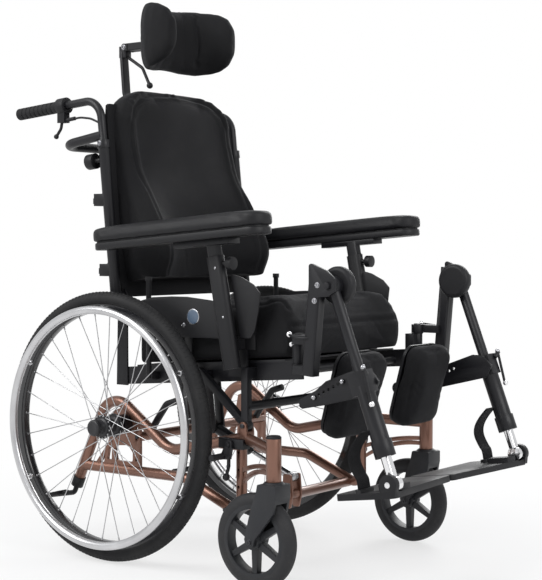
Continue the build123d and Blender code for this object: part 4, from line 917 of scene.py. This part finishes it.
def pressLine(piece, path, width, depth, ridge=0.0, facing=None):
    # a sewn line pressed into the cover along a path of points, with a soft roll beside it
    points, normals = pointsOf(piece.data), normalsOf(piece.data)
    line = np.array([tuple(p) for p in path])
    best = np.full(len(points), 1e9)
    for start, end in zip(line[:-1], line[1:]):
        run = end - start
        t = np.clip(((points - start) @ run) / max(run @ run, 1e-12), 0, 1)
        best = np.minimum(best, np.linalg.norm(points - (start + t[:, None] * run), axis=1))
    best *= 1000
    shift = -depth * np.exp(-(best / width) ** 2) + ridge * np.exp(-((best - 3.2 * width) / (1.6 * width)) ** 2)
    if facing is not None:
        shift *= np.clip(normals @ np.array(facing) * 3, 0, 1)
    setPoints(piece.data, points + normals * shift[:, None] / 1000)


def onSurface(piece, places, direction, lift=0.0):
    # points dropped onto the cover along a direction
    tree = BVHTree.FromObject(piece, bpy.context.evaluated_depsgraph_get())
    found = []
    for place in places:
        hit, normal, _, _ = tree.ray_cast(place - Vector(direction) * 0.6, Vector(direction))
        if hit is not None:
            found.append(hit + normal * lift / 1000)
    return found


def stitched(name, places, body, pitch=4.6, length=3.1, radius=0.55):
    mesh = runTree(stitchesAlong, curveThrough(name, places), {
        "Pitch": pitch / 1000, "Thread Length": length / 1000, "Thread Radius": radius / 1000,
        "Material": material["seamThread"]}, name)
    return rideAs(newPiece(name, mesh, "seamThread"), body)


# press values are a sewn line's width, depth and soft roll beside it, in mm
seat = {
    "voxel": 6.5, "shrink": 3.0, "cap": 9.0, "front": -464.0, "half": 224.0, "heldBelow": 34.0, "seamIn": 26.0,
    "crown": 158, "seamY": range(-434, -30, 14), "seamPress": (3.4, 2.6, 1.2), "stitchIn": 4.5, "stitchUp": 0.2,
    "noseUp": 92, "noseIn": 4, "noseX": range(-204, 205, 12), "nosePress": (3.6, 2.4, 1.2),
}


def makeSeatCushion():
    piece = newPiece("seatCushion", cadMesh("seat_cushion", "seatCushion"), "coverCloth")
    remeshed(piece, seat["voxel"], 5, seat["shrink"])
    puffed(piece, seat["cap"], lambda y, z: z < slope(y, seat["heldBelow"]))
    finer(piece)
    for sign in (-1, 1):
        # the top panel's side seam
        x = sign * (seat["half"] - seat["seamIn"])
        path = onSurface(piece, [at(x, y, slope(y, seat["crown"])) for y in seat["seamY"]], (0, 0, -1))
        pressLine(piece, path, *seat["seamPress"])
        aside = Vector((-sign * seat["stitchIn"], 0, seat["stitchUp"])) / 1000
        stitched("seatStitch" + ("R" if sign < 0 else "L"), [p + aside for p in path], "seat")
    nose = [at(x, seat["front"] + seat["noseIn"], slope(seat["front"], seat["noseUp"])) for x in seat["noseX"]]
    pressLine(piece, onSurface(piece, nose, (0, 1, 0)), *seat["nosePress"])
    standFor(piece, "seat_cushion")


# seam gives the bolster's sewn line as (z, x) from the seat up and round to the middle of the top
back = {
    "voxel": 7.0, "shrink": 2.4, "cap": 7.0, "inset": 8, "ahead": 160, "press": (4.0, 2.6, 2.2), "stitchUp": 0.3,
    "slingRear": 3, "slingFront": 5,
    "seam": ((640, 168), (700, 170), (760, 172), (820, 176), (880, 180), (940, 180), (1000, 174), (1034, 160),
             (1056, 132), (1068, 92), (1072, 44), (1073, 0)),
    "sling": ((594, 214), (596, 219), (640, 226), (760, 227), (880, 227), (1000, 227), (1036, 220), (1040, 214)),
}


def backSeam(sign, inset):
    # in front of the cushion, to be dropped onto it
    return dense([at(sign * (x - inset if x > 20 else x), caneY(z) - back["ahead"], z - (inset if z > 1050 else 0))
                  for z, x in back["seam"]], 10)


def makeBackCushion():
    piece = newPiece("backCushion", cadMesh("back_cushion", "backCushion"), "coverCloth")
    remeshed(piece, back["voxel"], 4, back["shrink"])
    puffed(piece, back["cap"], lambda y, z: y > caneY(z) - 4)
    finer(piece)
    for sign in (-1, 1):
        pressLine(piece, onSurface(piece, backSeam(sign, 0), (0, 1, 0)), *back["press"], (0, -1, 0))
        inner = onSurface(piece, backSeam(sign, back["inset"]), (0, 1, 0), back["stitchUp"])
        stitched("backStitch" + ("R" if sign < 0 else "L"), inner, "back")
    standFor(piece, "back_cushion")


def makeBackSling():
    # the cloth that closes the back between the canes, down to the seat
    rows = []
    for z, half in back["sling"]:
        front, rear = caneY(z) - back["slingFront"], caneY(z) + back["slingRear"]
        rows.append((z, [(-half, front), (half, front), (half, rear), (-half, rear)]))
    rideAs(newPiece("backSling", stackedLoops("backSling", rows, at, 40), "coverCloth"), "back")


# tray and cover give each outline's (inset, height) from the underside up
armPad = {
    "x": 294.0, "width": 78.0, "rear": 28.0, "length": 482.0, "top": 750.0, "base": 18.0, "foam": 32.0,
    "corner": 34.0, "cap": 4.0, "trayIn": 4.0,
    "tray": ((2.2, 0.0), (0.6, 1.4), (0.0, 3.4), (0.0, 13.0), (1.2, 15.2), (4.0, 16.4), (4.2, 19.0)),
    "cover": ((5.0, 18.6), (2.0, 19.4), (1.0, 21.4), (0.8, 26.0), (1.0, 40.0), (3.0, 44.6), (7.6, 47.4), (14.0, 48.4)),
}


def armPlace(x, y, level):
    # level is mm above the pad's underside, in the pad's own slope
    middle = armPad["rear"] - armPad["length"] / 2
    low = armPad["top"] - armPad["base"] - armPad["foam"]
    dy, dz = middle + y - armPad["rear"], low + level - armPad["top"]
    turn = radians(-seatSlope)
    return at(armPad["x"] + x, armPad["rear"] + dy * cos(turn) - dz * sin(turn),
              armPad["top"] + dy * sin(turn) + dz * cos(turn))


def makeArmPads():
    def outlines(profile, margin):
        return [(level, roundedLoop(armPad["width"] - 2 * (margin + inset), armPad["length"] - 2 * (margin + inset),
                                    armPad["corner"] - margin - inset)) for inset, level in profile]
    base = stackedLoops("armBase", outlines(armPad["tray"], armPad["trayIn"]), armPlace, 34)
    cover = stackedLoops("leftArmPad", outlines(armPad["cover"], 0), armPlace, 60)
    piece = newPiece("leftArmPad", cover, "padSkin")
    remeshed(piece, 4.4, 3)
    puffed(piece, armPad["cap"], lambda y, z: z < (
        armPad["top"] - armPad["foam"] + 4 - (y - armPad["rear"]) * tan(radians(seatSlope))), 3.0)
    finer(piece)
    cushion = piece.data
    bpy.data.objects.remove(piece)
    for side, sign in sides:
        rideAs(newPiece(side + "ArmTray", forSide(base, sign, "rightArmBase"), "mouldedBlack"), side + "_arm")
        pad = newPiece(side + "ArmPad", forSide(cushion, sign, "rightArmPad"), "padSkin")
        standFor(pad, side + "_arm_pad")


headPad = {"low": 1128.0, "high": 1291.0, "half": 131.0, "back": 104.0, "front": -30.0, "thick": 44.0,
           "pivot": (206.0, 1203.0), "cap": 6.0, "around": 28}


def headSection(x, y, turn, tall, deep):
    # an oval across the pad at one place along it, turned to face the head
    angle = radians(turn)
    across = Vector((-sin(angle), cos(angle), 0))
    height = headPad["high"] - headPad["low"]
    points = []
    for i in range(headPad["around"]):
        ca, sa = cos(2 * pi * i / headPad["around"]), sin(2 * pi * i / headPad["around"])
        out = headPad["thick"] / 2 * deep * (abs(ca) ** 0.8) * (1 if ca > 0 else -1)
        rise = height / 2 * tall * (abs(sa) ** 0.72) * (1 if sa > 0 else -1)
        points.append(at(x, y, (headPad["low"] + headPad["high"]) / 2 + rise) + across * out / 1000)
    return points


# the fork that carries the pad on its pivot: half widths outside and inside, half height, rounded edge
headFork = {
    "out": 18, "in": 12.5, "high": 9, "edge": 1.5, "webFrom": 12, "webTo": 12, "cheekFront": 14, "cheekRear": 2,
    "boss": ((12.5, 0), (12.5, 8.2), (13.4, 9.4), (17, 9.4), (18, 8.4), (18, 0)), "pin": 3.9, "pinHalf": 17,
    "boltSize": 0.9,
}


def makeHeadFork():
    y, z = headPad["pivot"]
    out, inside, high, edge = headFork["out"], headFork["in"], headFork["high"], headFork["edge"]
    cheekFront, cheekRear = y - headFork["cheekFront"], y + headFork["cheekRear"]
    parts = []
    for x0, x1, y0, y1 in ((-out, out, headPad["back"] + headFork["webFrom"], y - headFork["webTo"]),
                           (inside, out, cheekFront, cheekRear), (-out, -inside, cheekFront, cheekRear)):
        rows = [(level, ((x0 + i, y0 + i), (x1 - i, y0 + i), (x1 - i, y1 - i), (x0 + i, y1 - i)))
                for level, i in ((z - high, edge), (z - high + edge, 0), (z + high - edge, 0), (z + high, edge))]
        parts.append(stackedLoops("headFork", rows, at, 30))
    for s in (-1, 1):
        parts.append(lathe("cheek", [(s * a, r) for a, r in headFork["boss"]], (0, y, z), 32))
    parts.append(tubeMesh("pin", [at(s * headFork["pinHalf"], y, z) for s in (-1, 1)], headFork["pin"], 16))
    rideAs(newPiece("headPadArm", joined("headPadArm", parts), "mouldedBlack"), "head_rest")
    scatter("headPadBolts", screwHead, [(at(s * out, y, z), (s, 0, 0), headFork["boltSize"]) for s in (-1, 1)],
            "boltSteel", "head_rest")


def makeHeadPad():
    reach = headPad["half"] - headPad["thick"] / 2
    rear = headPad["back"] - headPad["thick"] / 2
    front = headPad["front"]
    # from the wing's tip to the middle: x, y, turn in degrees, share of height and of thickness
    ring = [(-reach + 3, front - 10, 86, 0.4, 0.6), (-reach + 1, front + 8, 84, 0.72, 0.86),
            (-reach, front + 34, 80, 0.88, 0.95), (-reach + 6, 30, 66, 0.95, 0.98),
            (-reach * 0.76, rear - 22, 40, 1.0, 1.0), (-reach * 0.4, rear - 5, 18, 0.98, 1.0), (0, rear, 0, 0.95, 1.0)]
    ring += [(-x, y, -turn, tall, deep) for x, y, turn, tall, deep in reversed(ring[:-1])]
    piece = newPiece("headPad", skinned("headPad", [headSection(*place) for place in ring], 60), "coverCloth")
    remeshed(piece, 4.4, 8)
    puffed(piece, headPad["cap"], None, 3.0)
    finer(piece)
    standFor(piece, "head_pad")
    makeHeadFork()


# shell and cover give each outline's (depth from the rod, inset)
calf = {
    "x": 133.0, "width": 150.0, "height": 188.0, "rod": (-520.0, 391.0), "mid": 409.0, "lean": 15.0, "cap": 6.0,
    "barrelHalf": 34, "corner": 30, "seamIn": 10, "seamDepth": 52, "press": (3.0, 2.0, 1.0),
    "shell": ((14.0, 9.0), (14.6, 6.0), (17.0, 4.2), (22.6, 4.0)),
    "cover": ((22.5, 4.0), (24.5, 2.4), (33.0, 1.6), (44.0, 2.4), (54.0, 6.0), (62.0, 13.0), (66.0, 24.0)),
}


def calfPlace(x, z, depth):
    # depth is mm forward of the rod; the pad leans with its pivot
    rodY, rodZ = calf["rod"]
    dz = calf["mid"] + z - rodZ
    turn = radians(calf["lean"])
    return at(calf["x"] + x, rodY - depth * cos(turn) - dz * sin(turn), rodZ - depth * sin(turn) + dz * cos(turn))


def calfCarrier():
    # the pad's shell with the barrel that turns on the rod
    w, h, half = calf["width"], calf["height"], calf["barrelHalf"]
    y, z = calf["rod"]
    shell = [(depth, roundedLoop(w - 2 * i, h - 2 * i, 28)) for depth, i in calf["shell"]]
    barrel = [(-half, 7.3), (-half, 12), (1 - half, 13), (half - 1, 13), (half, 12), (half, 7.3)]
    foot = [(level, [(calf["x"] - half + i, y - 15.5), (calf["x"] + half - i, y - 15.5),
                     (calf["x"] + half - i, y - 4), (calf["x"] - half + i, y - 4)])
            for level, i in ((z - 13, 1.5), (z - 11.5, 0), (z + 11.5, 0), (z + 13, 1.5))]
    return joined("calfShell", [stackedLoops("calfShell", shell, calfPlace, 36),
                                lathe("barrel", barrel, (calf["x"], y, z), 40), stackedLoops("foot", foot, at, 30)])


def makeCalfPads():
    w, h = calf["width"], calf["height"]
    rows = [(depth, roundedLoop(w - 2 * inset, h - 2 * inset, calf["corner"] - inset * 0.6))
            for depth, inset in calf["cover"]]
    piece = newPiece("calfPad", stackedLoops("calfPad", rows, calfPlace, 60), "coverCloth")
    remeshed(piece, 4.6, 5)
    puffed(piece, calf["cap"], lambda y, z: y > calf["rod"][0] - 25, 3.5)
    finer(piece)
    seam = roundedLoop(w - 2 * calf["seamIn"], h - 2 * calf["seamIn"], 26)
    edge = [calfPlace(x, z, calf["seamDepth"]) for x, z in seam]
    pressLine(piece, edge + edge[:1], *calf["press"])
    pad = piece.data
    bpy.data.objects.remove(piece)
    carrier = calfCarrier()
    for side, sign in sides:
        rideAs(newPiece(side + "CalfShell", forSide(carrier, sign, "rightCalfShell"), "mouldedBlack"),
               side + "_calf")
        cover = newPiece(side + "CalfPad", forSide(pad, sign, "rightCalfPad"), "coverCloth")
        standFor(cover, side + "_calf_pad")


leg = {"x": 256.0, "knee": (-590.0, 631.0), "angle": 20.8, "pivotAlong": 415.0, "clampAlong": 205.0}


def downLeg(distance):
    turn = radians(leg["angle"])
    return leg["knee"][0] - sin(turn) * distance, leg["knee"][1] - cos(turn) * distance


strap = {"width": 43.0, "thick": 1.4, "edge": 1.2, "clip": 72.0, "lift": -6.7, "toe": 8.0, "stitchX": 16.5,
         "stitchUp": 1.7, "upright": 20,
         "route": ((-657, 252), (-639, 284), (-650, 317), (-673.5, 342))}


def makeHeelStraps():
    # flat webbing swept along the strap's line, its width along x
    py, pz = downLeg(leg["pivotAlong"])
    tilt = radians(strap["toe"])
    y0 = py + strap["clip"] * cos(tilt) + strap["lift"] * sin(tilt)
    z0 = pz + strap["lift"] * cos(tilt) - strap["clip"] * sin(tilt)
    spine = smoothLine([at(0, y, z) for y, z in (
        (y0, z0), (y0 + strap["upright"] * sin(tilt), z0 + strap["upright"] * cos(tilt)), *strap["route"])])
    half, thick, edge = strap["width"] / 2000, strap["thick"] / 1000, strap["edge"] / 1000
    rightSide = [(half - edge, -thick), (half, -thick * 0.6), (half, thick * 0.6), (half - edge, thick),
                 (0.3 * half, thick * 1.1)]
    section = rightSide + [(-x, t) for x, t in reversed(rightSide)]
    rows = []
    for i, place in enumerate(spine):
        along = alongLine(spine, i)
        across = Vector((0, -along.z, along.y))
        rows.append([place + Vector((leg["x"] / 1000 + x, 0, 0)) + across * t for x, t in section])
    mesh = skinned("heelStrap", rows, 50)
    for side, sign in sides:
        standFor(newPiece(side + "HeelStrap", forSide(mesh, sign, "rightHeelStrap"), "strapWebbing"),
                 side + "_heel_strap")
        for letter, x in (("A", -strap["stitchX"]), ("B", strap["stitchX"])):
            row = [p + Vector(((sign * leg["x"] + x) / 1000, 0, 0)) for p in offsetLine(spine, strap["stitchUp"])]
            stitched(f"{side}StrapStitch{letter}", row, side + "_plate", 4.0, 2.6, 0.4)


for stage, make in (("seat cushion", makeSeatCushion), ("back cushion", makeBackCushion),
                    ("back sling", makeBackSling), ("arm pads", makeArmPads), ("head pad", makeHeadPad),
                    ("calf pads", makeCalfPads), ("heel straps", makeHeelStraps)):
    make()
    print(stage, "done")


def ballAt(name, place, radius, finish, body):
    form = bmesh.new()
    bmesh.ops.create_uvsphere(form, u_segments=24, v_segments=14, radius=radius / 1000)
    mesh = bpy.data.meshes.new(name)
    form.to_mesh(mesh)
    form.free()
    mesh.transform(Matrix.Translation(place) @ Matrix.Diagonal((1, 1, 1.05, 1)))
    softShade(mesh, 80)
    rideAs(newPiece(name, mesh, finish), body)


def sideDisc(name, centre, radius, sign, finish, dome):
    profile = [(0, 0), (0, radius), (0.6, radius), (1, radius - 0.8), (1 + dome * 0.4, radius * 0.7),
               (1 + dome, radius * 0.3), (1 + dome, 0)]
    mesh = lathe(name, [(sign * a, r) for a, r in profile], centre, 48, 40)
    rideAs(newPiece(name, mesh, finish), "seat")


# screws seen from the side: name, shape, finish, body and each one's x, y, z and size
screwRows = (
    ("HangerBolts", screwHead, "boltSteel", "{}_hanger_body", ((276.2, -565, 632, 0.8), (276.2, -558, 600, 0.8))),
    ("CalfBolts", domeHead, "boltSteel", "{}_leg", ((241.4, -531, 399, 0.95), (241.4, -602, 436, 0.95),
                                                    (238.2, -668, 441, 0.9))),
    ("ArmScrews", domeHead, "boltSteel", "seat", ((276.4, -300, 664, 0.75), (276.4, -322, 560, 0.75))),
    ("GuardScrews", screwHead, "boltSteel", "seat", ((254.2, -74, 560, 0.75), (254.2, -190, 538, 0.75))),
    ("CaneScrews", screwHead, "boltSteel", "back", ((254.6, caneY(947), 947, 0.8), (254.4, 25, 600, 0.9))),
    ("BaseBolts", hexNut, "darkBolt", "base", ((253.6, -355, 328, 0.8), (236.2, -36, 277, 0.7),
                                               (244.0, -300, 141, 0.8))),
)
clampY, clampZ = downLeg(leg["clampAlong"])
# steel balls of the release and clamp levers: name, place, radius, finish, body
ballRows = (
    ("ReleaseBall", (264, -486, 529), 6.2, "brightChrome", "{}_hanger_body"),
    ("ReleaseStud", (259, -488, 508), 5.0, "brightChrome", "{}_hanger_body"),
    ("ClampTip", (278, clampY - 36, clampZ - 40), 6.0, "brightChrome", "{}_leg"),
    ("ClampTop", (278, clampY - 15, clampZ + 32), 5.4, "boltSteel", "{}_leg"),
)
badge, leverRoute = (-218, 557), ((270, -548, 525), (279, -540, 523), (281, -512, 524), (268, -490, 528))
for side, sign in sides:
    # the badge's place on the side guard, left plain
    sideDisc(side + "Badge", (sign * 254.0, *badge), 15.5, sign, "plainBadge", 0.6)
    sideDisc(side + "BadgeRing", (sign * 253.6, *badge), 17.2, sign, "boltSteel", 0.1)
    lever = tubeMesh("lever", [at(sign * x, y, z) for x, y, z in leverRoute], 2.6, 12, "NURBS")
    rideAs(newPiece(side + "ReleaseLever", lever, "satinBlack"), side + "_hanger_body")
    for name, (x, y, z), radius, finish, body in ballRows:
        ballAt(side + name, at(sign * x, y, z), radius, finish, body.format(side))
    for name, shape, finish, body, spots in screwRows:
        places = [(at(sign * x, y, z), (sign, 0, 0), size) for x, y, z, size in spots]
        scatter(side + name, shape, places, finish, body.format(side))
print("small fittings done")

floorLook = {"reach": 14.0, "colour": 0.86, "near": 0.6, "far": 1.5, "nearWhite": 0.66}


def makeFloor():
    # pale floor that keeps a soft shadow near the chair and turns plain white further out
    mesh = bpy.data.meshes.new("floor")
    reach = floorLook["reach"]
    mesh.from_pydata([(-reach, -reach, 0), (reach, -reach, 0), (reach, reach, 0), (-reach, reach, 0)], [],
                     [(0, 1, 2, 3)])
    floor = bpy.data.objects.new("studioFloor", mesh)
    scene.collection.objects.link(floor)
    paint = bpy.data.materials.new("studioFloor")
    paint.use_nodes = True
    tree = paint.node_tree
    shader = tree.nodes["Principled BSDF"]
    for label, value in {"Base Color": (*[floorLook["colour"]] * 3, 1), "Roughness": 0.7,
                         "Specular IOR Level": 0.2}.items():
        feed(tree, shader.inputs[label], value)
    path = addNode(tree, "ShaderNodeLightPath").outputs
    place = addNode(tree, "ShaderNodeTexCoord").outputs["Object"]
    apart = addNode(tree, "ShaderNodeVectorMath", {0: place}, operation="LENGTH").outputs["Value"]
    seen = calc(tree, "MAXIMUM", path["Is Camera Ray"], path["Is Glossy Ray"])
    share = calc(tree, "MULTIPLY", seen, spread(tree, apart, floorLook["near"], floorLook["far"],
                                                floorLook["nearWhite"], 1.0))
    glow = addNode(tree, "ShaderNodeEmission", {"Strength": 1.0})
    mix = addNode(tree, "ShaderNodeMixShader", {0: share, 1: shader.outputs[0], 2: glow.outputs[0]})
    feed(tree, tree.nodes["Material Output"].inputs[0], mix.outputs[0])
    mesh.materials.append(paint)


# name, place and size in metres, power in watts
lamps = (("keySoft", (-2.6, 1.2, 2.9), (2.2, 2.2), 90), ("frontSoft", (-0.6, -3.4, 2.2), (2.4, 1.6), 55),
         ("rimSoft", (3.0, 0.6, 2.0), (1.6, 2.4), 55))
view = {"lens": 88.98, "sensor_width": 36.0, "sensor_fit": "AUTO", "shift_x": -0.0087, "shift_y": 0.0027}
viewFrom, viewAlong = (-2640.8, -2241.5, 711.2), (0.7985, 0.6011, -0.0318)


def makeWorld():
    world = bpy.data.worlds.new("studio")
    scene.world = world
    world.use_nodes = True
    tree = world.node_tree
    ground = tree.nodes["Background"]
    feed(tree, ground.inputs["Color"], (0.95, 0.97, 1.0, 1))
    feed(tree, ground.inputs["Strength"], 0.5)
    white = addNode(tree, "ShaderNodeBackground", {"Color": (1, 1, 1, 1), "Strength": 1.0})
    path = addNode(tree, "ShaderNodeLightPath").outputs
    mirrored = calc(tree, "MAXIMUM", calc(tree, "MULTIPLY", path["Is Glossy Ray"], 0.55), path["Is Transmission Ray"])
    seen = calc(tree, "MAXIMUM", path["Is Camera Ray"], mirrored)
    mix = addNode(tree, "ShaderNodeMixShader", {0: seen, 1: ground.outputs[0], 2: white.outputs[0]})
    feed(tree, tree.nodes["World Output"].inputs[0], mix.outputs[0])


def softLight(name, place, size, power, target=(0, 0, 0.6)):
    data = bpy.data.lights.new(name, "AREA")
    data.shape = "RECTANGLE"
    data.size, data.size_y = size
    data.energy = power
    lamp = bpy.data.objects.new(name, data)
    scene.collection.objects.link(lamp)
    lamp.location = place
    lamp.rotation_mode = "QUATERNION"
    lamp.rotation_quaternion = (Vector(target) - Vector(place)).to_track_quat("-Z", "Y")


def makeCamera():
    data = bpy.data.cameras.new("view")
    for setting, value in view.items():
        setattr(data, setting, value)
    camera = bpy.data.objects.new("view", data)
    scene.collection.objects.link(camera)
    camera.location = at(*viewFrom)
    camera.rotation_mode = "QUATERNION"
    camera.rotation_quaternion = Vector(viewAlong).to_track_quat("-Z", "Y")
    scene.camera = camera


makeFloor()
makeWorld()
for name, place, size, power in lamps:
    softLight(name, place, size, power)
makeCamera()
scene.view_settings.view_transform = "Standard"
print("stage done")
